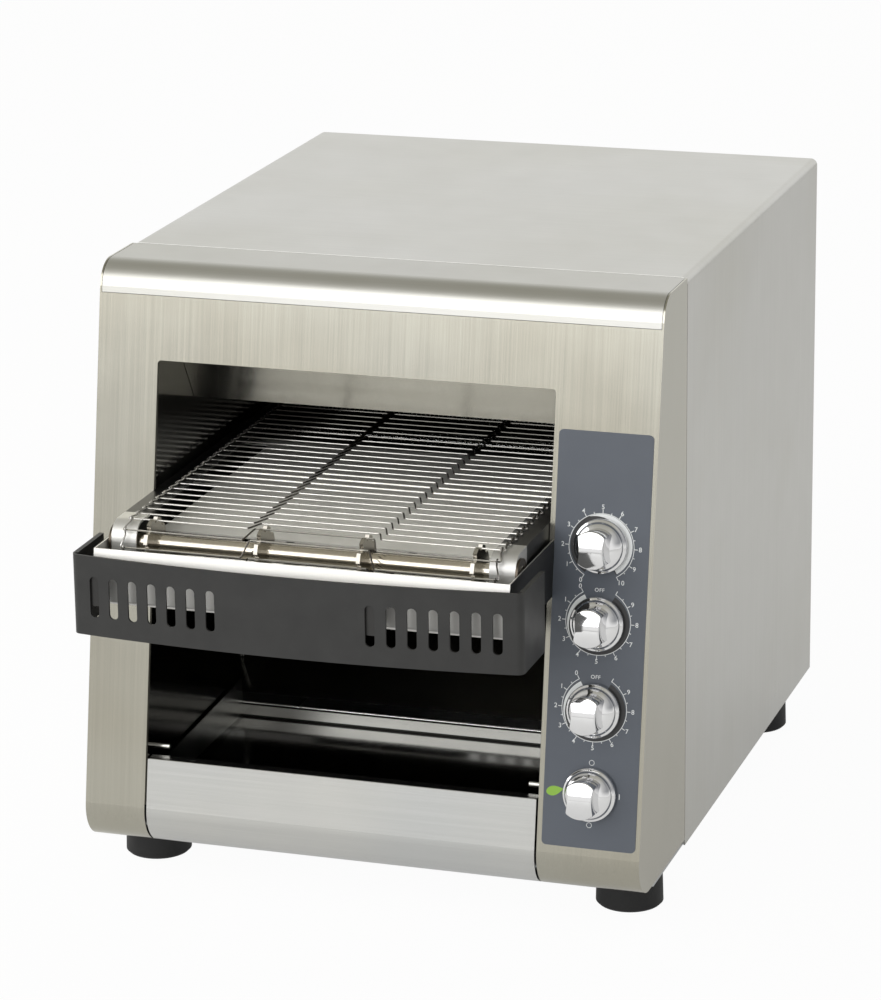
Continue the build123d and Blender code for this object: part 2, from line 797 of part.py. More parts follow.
with BuildPart() as motor_sprocket:
    with BuildSketch(side_plane(chain_x, drive_shaft_y, motor_z)):
        add(toothed_wheel(chain_teeth, chain_radius, chain_tip, chain_pocket, motor_shaft_radius))
    extrude(amount=wheel_thickness / 2, both=True)
    with BuildSketch(side_plane(chain_x + wheel_thickness / 2, drive_shaft_y, motor_z)):
        Circle(wheel_hub_radius)
    extrude(amount=wheel_hub)
    with BuildSketch(side_plane(chain_x - wheel_thickness / 2, drive_shaft_y, motor_z)):
        Circle(motor_shaft_radius)
    extrude(amount=motor_shaft_length + wheel_hub)
motor_sprocket.part.label = "motor_sprocket"
export_step(motor_sprocket.part, "parts/motor_sprocket.step")

chain_points = [(drive_shaft_y - across, motor_z + along)
                for along, across in loop_stations(chain_pitch, chain_teeth, chain_spans)]
link_places = []
for (y, z), (next_y, next_z) in zip(chain_points, chain_points[1:] + chain_points[:1]):
    link_places.append(Location((y, z, 0), (0, 0, degrees(atan2(next_z - z, next_y - y)))))


def link_plates(places):
    """Outlines of link plates, each from its own roller to the next."""
    half = link_height / 2
    with BuildSketch() as made:
        with Locations(*places):
            Polygon((-half, 0), (0, half), (chain_pitch, half), (chain_pitch + half, 0),
                    (chain_pitch, -half), (0, -half), align=None)
    return made.sketch


with BuildPart() as drive_chain:
    with BuildSketch(Plane.YZ.offset(chain_x)):
        with Locations(*chain_points):
            RegularPolygon(roller_radius, 6)
    extrude(amount=roller_width / 2, both=True)
    # Every second link has its plates outside those of its neighbours.
    for first in (0, 1):
        inside = roller_width / 2 + first * link_plate
        with BuildSketch(*[Plane.YZ.offset(chain_x + x) for x in (inside, -inside - link_plate)]):
            add(link_plates(link_places[first::2]))
        extrude(amount=link_plate)
drive_chain.part.label = "drive_chain"
export_step(drive_chain.part, "parts/drive_chain.step")

wall_out = chamber_right + liner
mount_middle = mount_x - mount_plate / 2
foot_middle = wall_out + mount_plate / 2
mount_side = mount_half + mount_plate / 2
with BuildPart() as motor_bracket:
    with BuildSketch(Plane.XY.offset(motor_z - mount_height / 2)):
        with Locations((0, drive_shaft_y)):
            add(folded([(foot_middle, -mount_side - mount_foot), (foot_middle, -mount_side),
                        (mount_middle, -mount_side), (mount_middle, mount_side),
                        (foot_middle, mount_side), (foot_middle, mount_side + mount_foot)],
                       mount_plate, sheet_bend))
    extrude(amount=mount_height)
    with BuildSketch(side_plane(mount_x, drive_shaft_y, motor_z)):
        Circle(boss_radius + shaft_fit)
    extrude(amount=-mount_plate, mode=Mode.SUBTRACT)
motor_bracket.part.label = "motor_bracket"
export_step(motor_bracket.part, "parts/motor_bracket.step")

with BuildPart() as gear_motor:
    with BuildSketch(side_plane(mount_x, drive_shaft_y, motor_z - gearbox_drop)):
        RectangleRounded(gearbox_size, gearbox_size, gearbox_corner)
    extrude(amount=gearbox_depth)
    with BuildSketch(side_plane(mount_x + gearbox_depth, drive_shaft_y, motor_z - gearbox_drop)):
        Circle(motor_radius)
    extrude(amount=motor_depth)
    with BuildSketch(side_plane(mount_x - boss_length, drive_shaft_y, motor_z)):
        Circle(boss_radius)
    extrude(amount=boss_length)
    with BuildSketch(side_plane(mount_x - boss_length, drive_shaft_y, motor_z)):
        Circle(motor_shaft_radius + shaft_fit)
    extrude(amount=motor_shaft_length, mode=Mode.SUBTRACT)
gear_motor.part.label = "gear_motor"
export_step(gear_motor.part, "parts/gear_motor.step")


# ---------------------------------------------------------------- cooling fan
def fan_plane(distance):
    """Plane across the fan's axis, at a distance ahead of the rear panel, facing the rear."""
    return Plane(origin=(compartment_x, panel_y - distance, fan_z), x_dir=(-1, 0, 0), z_dir=(0, 1, 0))


with BuildPart() as fan_frame:
    with BuildSketch(fan_plane(fan_depth)):
        RectangleRounded(fan_size, fan_size, fan_corner)
        Circle(fan_bore, mode=Mode.SUBTRACT)
    extrude(amount=fan_depth)
    with BuildSketch(fan_plane(fan_depth)):
        Circle(fan_hub)
        Rectangle(2 * fan_bore + fan_strut, fan_strut)
        Rectangle(fan_strut, 2 * fan_bore + fan_strut)
    extrude(amount=fan_strut)
    with BuildSketch(fan_plane(fan_depth - fan_strut)):
        Circle(fan_pin)
    extrude(amount=fan_pin_length)
fan_frame.part.label = "fan_frame"
export_step(fan_frame.part, "parts/fan_frame.step")

rotor_front = fan_depth - fan_strut - fan_gap
blade_planes = []
for i in range(fan_blades):
    turn = 2 * pi * i / fan_blades
    reach = fan_hub - blade_thickness
    origin = (compartment_x + reach * cos(turn), panel_y - fan_depth / 2, fan_z + reach * sin(turn))
    blade_planes.append(Plane(origin=origin, x_dir=(0, 1, 0), z_dir=(cos(turn), 0, sin(turn))))
with BuildPart() as fan_rotor:
    with BuildSketch(fan_plane(rotor_front)):
        Circle(fan_hub)
    extrude(amount=rotor_front - fan_strut)
    with BuildSketch(*blade_planes):
        Rectangle(blade_chord, blade_thickness, rotation=blade_pitch)
    extrude(amount=blade_reach - fan_hub + blade_thickness)
    with BuildSketch(fan_plane(rotor_front)):
        Circle(fan_pin + shaft_fit)
    extrude(amount=fan_pin_length, mode=Mode.SUBTRACT)
fan_rotor.part.label = "fan_rotor"
export_step(fan_rotor.part, "parts/fan_rotor.step")


# ---------------------------------------------------------------- feed tray and guard
feed_floor_z = bottom_z + feed_floor
feed_top_z = bottom_z + feed_top
lip_y = feed_y + plate / 2
lip_drop = plate / 2 * feed_lean / hypot(feed_lean, feed_lip)
with BuildPart() as feed_tray:
    with BuildSketch(Plane.YZ.offset(feed_left), Plane.YZ.offset(feed_right - plate)):
        with BuildLine():
            Polyline((face_y(feed_top_z, -face_gap), feed_top_z), (feed_y + feed_lean, feed_top_z),
                     (feed_y, feed_top_z - feed_lip), (feed_y, feed_floor_z),
                     (face_y(feed_floor_z, -face_gap), feed_floor_z), close=True)
        make_face()
        fillet(vertices().sort_by_distance((feed_y, feed_floor_z))[0], feed_bend)
    extrude(amount=plate)
    with BuildSketch(Plane.YZ.offset(feed_left)):
        add(folded([(face_y(feed_floor_z, -face_gap), feed_floor_z + plate / 2),
                    (lip_y, feed_floor_z + plate / 2), (lip_y, feed_top_z - feed_lip),
                    (lip_y + feed_lean, feed_top_z - lip_drop)], plate, feed_bend - plate / 2))
    extrude(amount=feed_right - feed_left)
feed_tray.part.label = "feed_tray"
export_step(feed_tray.part, "parts/feed_tray.step")


def bow_y(x, inset):
    """Depth of the guard's bowed front at a distance from its middle, set in from its outer face."""
    return guard_y + bow_radius - sqrt((bow_radius - inset)**2 - x**2)


guard_end_y = guard_corner_y + guard_side
with BuildPart() as front_guard:
    with BuildSketch(Plane((opening_offset, 0, guard_z))):
        side = guard_half - guard_skin / 2
        corner_y = bow_y(side, guard_skin / 2)
        with BuildLine() as path:
            Line((-side, guard_end_y), (-side, corner_y))
            ThreePointArc((-side, corner_y), (0, guard_y + guard_skin / 2), (side, corner_y))
            Line((side, corner_y), (side, guard_end_y))
            fillet(path.vertices().filter_by(lambda v: abs(v.Y - corner_y) < fit_gap), guard_corner)
        trace(line_width=guard_skin)
    extrude(amount=guard_height)
    # Folded hems along the tops of the side panels
    with BuildSketch(Plane.XY.offset(guard_z + guard_height)):
        hem_offset = guard_half - guard_skin - guard_skin / 2
        for offset_x in (-hem_offset, hem_offset):
            with Locations((opening_offset + offset_x, guard_end_y)):
                Rectangle(guard_skin, guard_side - guard_corner, align=(Align.CENTER, Align.MAX))
    extrude(amount=-guard_hem)
    with BuildSketch(Plane.XZ.offset(-guard_corner_y - guard_corner)):
        slot_offset = guard_half - slot_inset
        with Locations((opening_offset - slot_offset, guard_z + slot_rise),
                       (opening_offset + slot_offset, guard_z + slot_rise)):
            with GridLocations(slot_pitch, 1, slot_count, 1):
                SlotOverall(slot_length, slot_width, rotation=90)
    extrude(amount=guard_bow + 2 * guard_corner, mode=Mode.SUBTRACT)
    lower_corners = front_guard.edges().filter_by(Axis.X).group_by(Axis.Y)[-1].group_by(Axis.Z)[0]
    fillet(lower_corners, guard_corner)
front_guard.part.label = "front_guard"
export_step(front_guard.part, "parts/front_guard.step")

# Channel brackets between the feed tray's front and the guard
with BuildPart() as guard_brackets:
    with BuildSketch(Plane.XY.offset(bottom_z + bracket_bottom)):
        for place in (left_bracket_inset - guard_half, right_bracket):
            tray_side = feed_y - guard_skin / 2
            guard_inner = max(bow_y(place, guard_skin), bow_y(place + bracket_width, guard_skin))
            guard_side_y = guard_inner + fit_gap + guard_skin / 2
            with Locations((opening_offset + place, 0)):
                add(folded([(bracket_width, tray_side), (0, tray_side), (0, guard_side_y),
                            (bracket_width, guard_side_y)], guard_skin, sheet_bend))
    extrude(amount=bracket_height)
guard_brackets.part.label = "guard_brackets"
export_step(guard_brackets.part, "parts/guard_brackets.step")


# ---------------------------------------------------------------- receiving tray
tray_run = tray_end + joint_reach + joint_z * tan(face_tilt)
tray_top_z = bottom_z + tray_top
with BuildPart() as receiving_tray:
    with BuildSketch(tray_plane.offset(-plate)):
        Rectangle(tray_width, tray_run, align=(Align.CENTER, Align.MAX))
    extrude(amount=tray_wall + plate)
    offset(amount=-plate, openings=receiving_tray.faces().sort_by(Axis.Z)[-1])
    with BuildSketch(tray_plane.offset(tray_rear_lip)):
        Rectangle(tray_width - 2 * plate, 4 * plate)
    extrude(amount=tray_wall, mode=Mode.SUBTRACT)
    # The pan ends on the back of the front sheet.
    with BuildSketch(Plane.YZ.offset(tray_left)):
        add(front_outline(plate))
        with Locations((seam_y, bottom_z)):
            Rectangle(body_depth, body_height, align=(Align.MIN, Align.MIN))
    extrude(amount=tray_width, mode=Mode.INTERSECT)
    with BuildSketch(Plane.YZ.offset(tray_left)):
        add(front_outline(0))
        add(front_outline(plate), mode=Mode.SUBTRACT)
        with Locations((seam_y, tray_top_z)):
            Rectangle(body_depth, body_height, align=(Align.CENTER, Align.MIN), mode=Mode.SUBTRACT)
        with Locations((seam_y, bottom_z)):
            Rectangle(2 * (pan_reach + flange_gap), nose_radius, align=(Align.CENTER, Align.MIN),
                      mode=Mode.SUBTRACT)
        with Locations((face_y(tray_top_z, plate / 2), tray_top_z)):
            Rectangle(tray_hem, plate, align=(Align.MIN, Align.MAX))
    extrude(amount=tray_width)
receiving_tray.part.label = "receiving_tray"
export_step(receiving_tray.part, "parts/receiving_tray.step")

with BuildPart() as tray_pins:
    with BuildSketch(side_plane(chamber_left, seam_y - pin_reach, bottom_z + pin_height),
                     side_plane(chamber_right - pin_length, seam_y - pin_reach, bottom_z + pin_height)):
        Circle(pin_radius)
    extrude(amount=pin_length)
tray_pins.part.label = "tray_pins"
export_step(tray_pins.part, "parts/tray_pins.step")


# ---------------------------------------------------------------- controls
overlay_middle = bottom_z + (overlay_top + overlay_bottom) / 2
overlay_length = (overlay_top - overlay_bottom) / cos(face_tilt)
with BuildPart() as control_overlay:
    with BuildSketch(face_plane(overlay_middle)):
        RectangleRounded(overlay_width, overlay_length, overlay_corner)
    extrude(amount=overlay_skin)
    with BuildSketch(*[face_plane(bottom_z + height) for height in knob_heights]):
        Circle(spindle_radius + spindle_clearance)
    extrude(amount=overlay_skin, mode=Mode.SUBTRACT)
control_overlay.part.label = "control_overlay"
export_step(control_overlay.part, "parts/control_overlay.step")


def knob(height):
    """Knob with a waisted, domed grip bar on a conical shoulder and a round skirt."""
    base = face_plane(bottom_z + height, overlay_skin + knob_lift)
    half, waist = grip_length / 2, grip_waist / 2
    with BuildPart() as made:
        with BuildSketch(base):
            with BuildLine():
                left = ThreePointArc((-grip_width / 2, -half), (-waist, 0), (-grip_width / 2, half))
                top = Line(left @ 1, (grip_width / 2, half))
                right = ThreePointArc(top @ 1, (waist, 0), (grip_width / 2, -half))
                Line(right @ 1, left @ 0)
            make_face()
            Circle(half, mode=Mode.INTERSECT)
        extrude(amount=knob_height)
        dome_middle = base.origin + base.z_dir * (knob_height - grip_dome)
        with BuildSketch(Plane(origin=dome_middle, x_dir=base.y_dir, z_dir=base.x_dir)):
            Circle(grip_dome)
        extrude(amount=grip_width, both=True, mode=Mode.INTERSECT)
        with BuildSketch(base):
            Circle(knob_radius)
        extrude(amount=knob_skirt)
        with BuildSketch(base.offset(knob_skirt)):
            Circle(knob_radius)
        with BuildSketch(base.offset(shoulder_height)):
            Circle(shoulder_radius)
        loft()
        with BuildSketch(base):
            Circle(spindle_radius + shaft_fit)
        extrude(amount=knob_bore, mode=Mode.SUBTRACT)
    return made.part


bracket_depth = plate + control_set_back
spindle_top = overlay_skin + knob_lift + knob_bore - fit_gap


def spindle(height):
    """Spindle from inside the knob, through the face, to its seat in the control."""
    with BuildPart() as made:
        with BuildSketch(face_plane(bottom_z + height, spindle_top)):
            Circle(spindle_radius)
        extrude(amount=-(spindle_top + bracket_depth + plate + spindle_seat))
    return made.part


def control(height, outline, depth):
    """Control body behind its bracket, with a bushing through it and a bore for the spindle."""
    behind = bracket_depth + plate
    with BuildPart() as made:
        with BuildSketch(face_plane(bottom_z + height, -behind)):
            add(outline)
        extrude(amount=-depth)
        with BuildSketch(face_plane(bottom_z + height, -behind)):
            Circle(bushing_radius)
        extrude(amount=plate + bushing_length)
        with BuildSketch(face_plane(bottom_z + height, -behind)):
            Circle(spindle_radius + shaft_fit)
        extrude(amount=spindle_seat + fit_gap, both=True, mode=Mode.SUBTRACT)
    return made.part


with BuildSketch() as round_body:
    Circle(control_radius)
with BuildSketch() as square_body:
    RectangleRounded(switch_size, switch_size, overlay_corner)

knob_names = ("speed", "top_heat", "bottom_heat", "power")
control_names = ("speed_control", "top_heat_control", "bottom_heat_control", "power_switch")
control_bodies = (round_body, round_body, round_body, square_body)
control_depths = (control_depth, control_depth, control_depth, switch_depth)
for name, height in zip(knob_names, knob_heights):
    with BuildPart() as turned_knob:
        add(knob(height))
    turned_knob.part.label = name + "_knob"
    export_step(turned_knob.part, f"parts/{name}_knob.step")
    with BuildPart() as turned_spindle:
        add(spindle(height))
    turned_spindle.part.label = name + "_spindle"
    export_step(turned_spindle.part, f"parts/{name}_spindle.step")
for name, height, body, depth in zip(control_names, knob_heights, control_bodies, control_depths):
    with BuildPart() as fixed_control:
        add(control(height, body.sketch, depth))
    fixed_control.part.label = name
    export_step(fixed_control.part, f"parts/{name}.step")

bracket_low = bottom_z + min(knob_heights) - control_bracket_margin
bracket_high = bottom_z + max(knob_heights) + control_bracket_margin
bracket_side = control_bracket_width / 2 - plate / 2
with BuildPart() as control_bracket:
    slope_plane = Plane(origin=(knob_column, face_y(bracket_low), bracket_low), x_dir=(1, 0, 0),
                        z_dir=(0, sin(face_tilt), cos(face_tilt)))
    with BuildSketch(slope_plane):
        add(folded([(-bracket_side, plate), (-bracket_side, bracket_depth + plate / 2),
                    (bracket_side, bracket_depth + plate / 2), (bracket_side, plate)],
                   plate, sheet_bend))
    extrude(amount=(bracket_high - bracket_low) / cos(face_tilt))
    with BuildSketch(*[face_plane(bottom_z + height, -bracket_depth) for height in knob_heights]):
        Circle(bushing_radius + shaft_fit)
    extrude(amount=-plate, mode=Mode.SUBTRACT)
control_bracket.part.label = "control_bracket"
export_step(control_bracket.part, "parts/control_bracket.step")


# ---------------------------------------------------------------- supply
gland_z = bottom_z + gland_height
with BuildPart() as power_gland:
    with BuildSketch(Plane.XZ.offset(-back_y)):
        with Locations((compartment_x, gland_z)):
            Circle(gland_flange_radius)
    extrude(amount=-gland_flange)
    with BuildSketch(Plane.XZ.offset(-back_y - gland_reach)):
        with Locations((compartment_x, gland_z)):
            Circle(gland_radius)
    extrude(amount=gland_reach + skin + gland_nut)
    with BuildSketch(Plane.XZ.offset(-panel_y)):
        with Locations((compartment_x, gland_z)):
            RegularPolygon(gland_flange_radius, 6)
    extrude(amount=gland_nut)
    with BuildSketch(Plane.XZ.offset(-back_y - gland_reach)):
        with Locations((compartment_x, gland_z)):
            Circle(gland_bore)
    extrude(amount=body_depth, mode=Mode.SUBTRACT)
    chamfer(power_gland.edges().filter_by(GeomType.CIRCLE).sort_by(Axis.Y)[-1], plate)
power_gland.part.label = "power_gland"
export_step(power_gland.part, "parts/power_gland.step")

terminal_step = terminal_length / terminal_ways
with BuildPart() as terminal_block:
    with Locations((compartment_x, seam_y + terminal_place, pan_z)):
        Box(terminal_width, terminal_length, terminal_height,
            align=(Align.CENTER, Align.CENTER, Align.MIN))
    with BuildSketch(Plane.XY.offset(pan_z + terminal_height)):
        with Locations((compartment_x, seam_y + terminal_place)):
            with GridLocations(terminal_rows, terminal_step, 2, terminal_ways):
                Rectangle(terminal_pocket, terminal_pocket)
    extrude(amount=-terminal_height / 2, mode=Mode.SUBTRACT)
terminal_block.part.label = "terminal_block"
export_step(terminal_block.part, "parts/terminal_block.step")


# ---------------------------------------------------------------- feet
foot_names = ("foot_front_left", "foot_front_right", "foot_rear_left", "foot_rear_right")
for name, (x, y) in zip(foot_names, foot_places):
    with BuildPart() as foot:
        with BuildSketch(Plane(origin=(x, y, 0), x_dir=(1, 0, 0), z_dir=(0, -1, 0))):
            with BuildLine():
                Polyline((0, 0), (foot_radius - foot_chamfer, 0), (foot_radius, foot_chamfer),
                         (foot_top_radius, foot_height - foot_chamfer),
                         (foot_top_radius - foot_chamfer, foot_height), (stud_radius, foot_height),
                         (stud_radius, foot_height + stud_length), (0, foot_height + stud_length),
                         close=True)
            make_face()
        revolve(axis=Axis((x, y, 0), (0, 0, 1)))
    foot.part.label = name
    export_step(foot.part, f"parts/{name}.step")
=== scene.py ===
"""Looks of a counter-top conveyor toaster, built round its CAD frame.

Lengths are metres in the frame's own axes: X to the right, Y to the rear, Z up. Sizes that a maker would
quote in millimetres are multiplied by MM.
"""

import json
import logging
from dataclasses import dataclass, field
from enum import Enum
from math import cos, pi, radians, sin

import bmesh
import bpy
import numpy as np
from mathutils import Matrix, Vector


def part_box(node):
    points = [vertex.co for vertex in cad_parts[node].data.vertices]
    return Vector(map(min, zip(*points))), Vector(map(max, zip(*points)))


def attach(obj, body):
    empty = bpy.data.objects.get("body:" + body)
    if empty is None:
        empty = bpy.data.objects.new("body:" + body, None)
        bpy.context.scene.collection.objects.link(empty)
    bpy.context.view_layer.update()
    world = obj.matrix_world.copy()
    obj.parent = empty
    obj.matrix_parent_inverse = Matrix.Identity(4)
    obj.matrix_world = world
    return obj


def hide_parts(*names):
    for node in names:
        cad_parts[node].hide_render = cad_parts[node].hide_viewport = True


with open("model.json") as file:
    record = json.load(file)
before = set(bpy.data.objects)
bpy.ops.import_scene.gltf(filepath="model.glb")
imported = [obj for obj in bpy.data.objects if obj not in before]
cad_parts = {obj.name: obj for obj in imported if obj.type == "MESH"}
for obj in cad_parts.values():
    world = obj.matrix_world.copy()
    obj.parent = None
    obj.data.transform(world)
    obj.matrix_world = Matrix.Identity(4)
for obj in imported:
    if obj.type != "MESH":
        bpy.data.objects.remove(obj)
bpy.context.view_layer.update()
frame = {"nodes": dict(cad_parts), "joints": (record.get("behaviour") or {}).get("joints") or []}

MM = 0.001
Colour = tuple[float, float, float]
Point = tuple[float, float, float]
log = logging.getLogger("toaster")


# ---------------------------------------------------------------- shader building
class Value:
    """Number carried by a node socket; arithmetic on it adds Math nodes."""

    def __init__(self, shader: "Shader", socket: bpy.types.NodeSocket) -> None:
        """Keeps the socket and the node tree that it belongs to."""
        self.shader = shader
        self.socket = socket

    def math(self, operation: str, *inputs: "float | Value") -> "Value":
        """Adds one Math node.

        Args:
            operation: Name of the node's operation.
            inputs: Its numbers or linked values, in order.

        Returns:
            The node's result.
        """
        node = self.shader.add("ShaderNodeMath", {"operation": operation}, dict(enumerate(inputs)))
        return Value(self.shader, node.outputs[0])

    def __add__(self, other: "float | Value") -> "Value":
        """Sum."""
        return self.math("ADD", self, other)

    def __radd__(self, other: float) -> "Value":
        """Sum with a number on the left."""
        return self.math("ADD", other, self)

    def __sub__(self, other: "float | Value") -> "Value":
        """Difference."""
        return self.math("SUBTRACT", self, other)

    def __rsub__(self, other: float) -> "Value":
        """Difference from a number on the left."""
        return self.math("SUBTRACT", other, self)

    def __mul__(self, other: "float | Value") -> "Value":
        """Product."""
        return self.math("MULTIPLY", self, other)

    def __rmul__(self, other: float) -> "Value":
        """Product with a number on the left."""
        return self.math("MULTIPLY", other, self)

    def within(self, low: float, high: float) -> "Value":
        """One where the value lies between two limits and nought elsewhere."""
        return self.math("GREATER_THAN", self, low) * self.math("LESS_THAN", self, high)

    def absolute(self) -> "Value":
        """The value without its sign."""
        return self.math("ABSOLUTE", self)

    def clamped(self) -> "Value":
        """The value held between nought and one."""
        return self.math("MINIMUM", self.math("MAXIMUM", self, 0.0), 1.0)


Input = float | tuple | Value | bpy.types.NodeSocket


class Graph:
    """Node tree under construction."""

    def __init__(self, tree: bpy.types.NodeTree) -> None:
        """Takes over a node tree and empties it."""
        self.tree = tree
        self.tree.nodes.clear()

    def link(self, node: bpy.types.Node, inputs: dict) -> None:
        """Sets or links a node's sockets.

        Args:
            node: The node.
            inputs: Numbers, colours, values or sockets by socket name or number.
        """
        for key, given in inputs.items():
            socket = node.inputs[key]
            if isinstance(given, Value):
                self.tree.links.new(given.socket, socket)
            elif isinstance(given, bpy.types.NodeSocket):
                self.tree.links.new(given, socket)
            elif isinstance(given, tuple) and len(given) == 3 and socket.type == "RGBA":
                socket.default_value = (*given, 1.0)
            else:
                socket.default_value = given

    def add(self, kind: str, settings: dict | None = None, inputs: dict | None = None) -> bpy.types.Node:
        """Adds a node of any type.

        Args:
            kind: The node's type name.
            settings: Its own settings, set first; "stops" lists a ramp's (place, colour) pairs.
            inputs: What its sockets get.

        Returns:
            The node.
        """
        node = self.tree.nodes.new(kind)
        for key, given in (settings or {}).items():
            if key != "stops":
                setattr(node, key, given)
                continue
            ramp = node.color_ramp.elements
            while len(ramp) < len(given):
                ramp.new(0.5)
            for element, (position, colour) in zip(ramp, given):
                element.position = position
                element.color = (*colour, 1.0)
        self.link(node, inputs or {})
        return node

    def noise(self, place: bpy.types.NodeSocket, scale: float = 1.0, detail: float = 3.0) -> Value:
        """Soft noise between about nought and one.

        Args:
            place: Coordinates to read.
            scale: Waves per unit of those coordinates.
            detail: Octaves.

        Returns:
            The noise.
        """
        node = self.add("ShaderNodeTexNoise", {}, {"Vector": place, "Scale": scale, "Detail": detail})
        return Value(self, node.outputs["Fac"])

    def axis(self, place: bpy.types.NodeSocket, name: str) -> Value:
        """One coordinate of a vector, by its letter."""
        return Value(self, self.add("ShaderNodeSeparateXYZ", {}, {0: place}).outputs[name])

    def mix(self, factor: Input, first: Input, second: Input, blend: str = "MIX") -> bpy.types.NodeSocket:
        """Blend of two colours.

        Args:
            factor: Share of the second.
            first: First colour.
            second: Second colour.
            blend: Name of the node's blend type.

        Returns:
            The blended colour.
        """
        settings = {"data_type": "RGBA", "blend_type": blend}
        return self.add("ShaderNodeMix", settings, {0: factor, 6: first, 7: second}).outputs[2]

    def ramp(self, factor: Value, stops: tuple) -> bpy.types.NodeSocket:
        """Colour along a ramp of (place, colour) stops."""
        return self.add("ShaderNodeValToRGB", {"stops": stops}, {"Fac": factor}).outputs[0]


class Shader(Graph):
    """Node tree of one material, with a Principled shader at its end."""

    def __init__(self, name: str) -> None:
        """Makes an empty node material with a Principled shader.

        Args:
            name: The material's name.
        """
        self.made = bpy.data.materials.new(name)
        self.made.use_nodes = True
        super().__init__(self.made.node_tree)
        self.surface = self.add("ShaderNodeBsdfPrincipled")
        self.output = self.add("ShaderNodeOutputMaterial", {}, {"Surface": self.surface.outputs[0]})
        self.place = self.add("ShaderNodeTexCoord").outputs["Object"]

    def mapped(self, scale: Point, turn: Point = (0.0, 0.0, 0.0)) -> bpy.types.NodeSocket:
        """Object coordinates, turned and then stretched.

        Args:
            scale: Factor along each axis.
            turn: Angles about the axes.

        Returns:
            The mapped coordinates.
        """
        turned = self.add("ShaderNodeMapping", {}, {"Vector": self.place, "Rotation": turn})
        return self.add("ShaderNodeMapping", {}, {"Vector": turned.outputs[0], "Scale": scale}).outputs[0]

    def spots(self, waves: float, detail: float) -> Value:
        """Noise that is alike in all directions, by its waves per metre and its octaves."""
        return self.noise(self.mapped((waves,) * 3), 1.0, detail)

    def bump(self, height: Value, depth: float) -> bpy.types.NodeSocket:
        """Normal of a surface with a relief.

        Args:
            height: Relief between nought and one.
            depth: Its real depth.

        Returns:
            The normal.
        """
        return self.add("ShaderNodeBump", {}, {"Height": height, "Distance": depth}).outputs[0]

    def finish(self, **channels: Input) -> bpy.types.Material:
        """Feeds the Principled shader, with underscores for the spaces in its socket names."""
        self.link(self.surface, {key.replace("_", " "): given for key, given in channels.items()})
        return self.made


class Grain(Enum):
    """Direction across which brushed lines change quickly, as factors along the axes."""

    ACROSS_X = (1.0, 0.0, 0.0)
    ACROSS_Y = (0.0, 1.0, 0.0)
    ACROSS_XY = (1.0, 1.0, 0.0)
    ACROSS_YZ = (0.0, 1.0, 1.0)


def shaded(colour: Colour, share: float) -> Colour:
    """Colour made brighter or darker by a share, and held at white."""
    return tuple(min(1.0, part * share) for part in colour)


@dataclass(frozen=True)
class Zone:
    """Box in a piece with a look of its own: shares of colour and roughness, and limits along its axes."""

    colour: float
    roughness: float
    limits: tuple[tuple[str, float, float], ...]


class Zones(Enum):
    """Zones of the pieces that have them, most of them painted highlight and painted shade; a later one lies over an
    earlier one.
    """

    NONE = ()
    # painted highlight along the wrap's edge at its joint with the trim
    WRAP = (Zone(1.7, 1.3, (("Y", -0.0890, -0.0866), ("Z", 0.3945, 0.40))),)
    # painted shade: the tray's polished floor and its rear lip darkened, a dark crease between them and a dark line
    # under the lip's rolled edge
    TRAY = (
        Zone(0.56, 0.50, (("Z", 0.0465, 0.0575), ("Y", -0.196, -0.0280))),
        Zone(0.80, 1.0, (("Z", 0.0575, 0.0646), ("Y", -0.0290, -0.0270))),
        Zone(0.05, 1.0, (("Z", 0.0554, 0.0576), ("Y", -0.0292, -0.0270))),
        Zone(0.05, 1.0, (("Z", 0.0646, 0.0670), ("Y", -0.0290, -0.0200))),
    )
    # painted shade on the feed tray's front wall behind the guard, and the blackened outsides of its side walls
    FEED = (
        Zone(0.70, 1.0, (("Y", -0.30, -0.240), ("Z", 0.20, 0.2355))),
        Zone(0.05, 0.9, (("X", 0.1205, 0.20), ("Z", 0.20, 0.30))),
        Zone(0.05, 0.9, (("X", -0.20, -0.1460), ("Z", 0.20, 0.30))),
    )
    # painted shade on the stretch of the shield under the heaters
    SHIELD = (Zone(0.06, 1.0, (("Y", 0.0, 0.13),)),)
    # painted shade: the right rail a little dimmer, and both rails dark behind their bright noses
    RAIL = (Zone(0.82, 1.0, (("X", 0.0, 0.2),)), Zone(0.10, 0.8, (("Y", -0.214, 0.30),)))


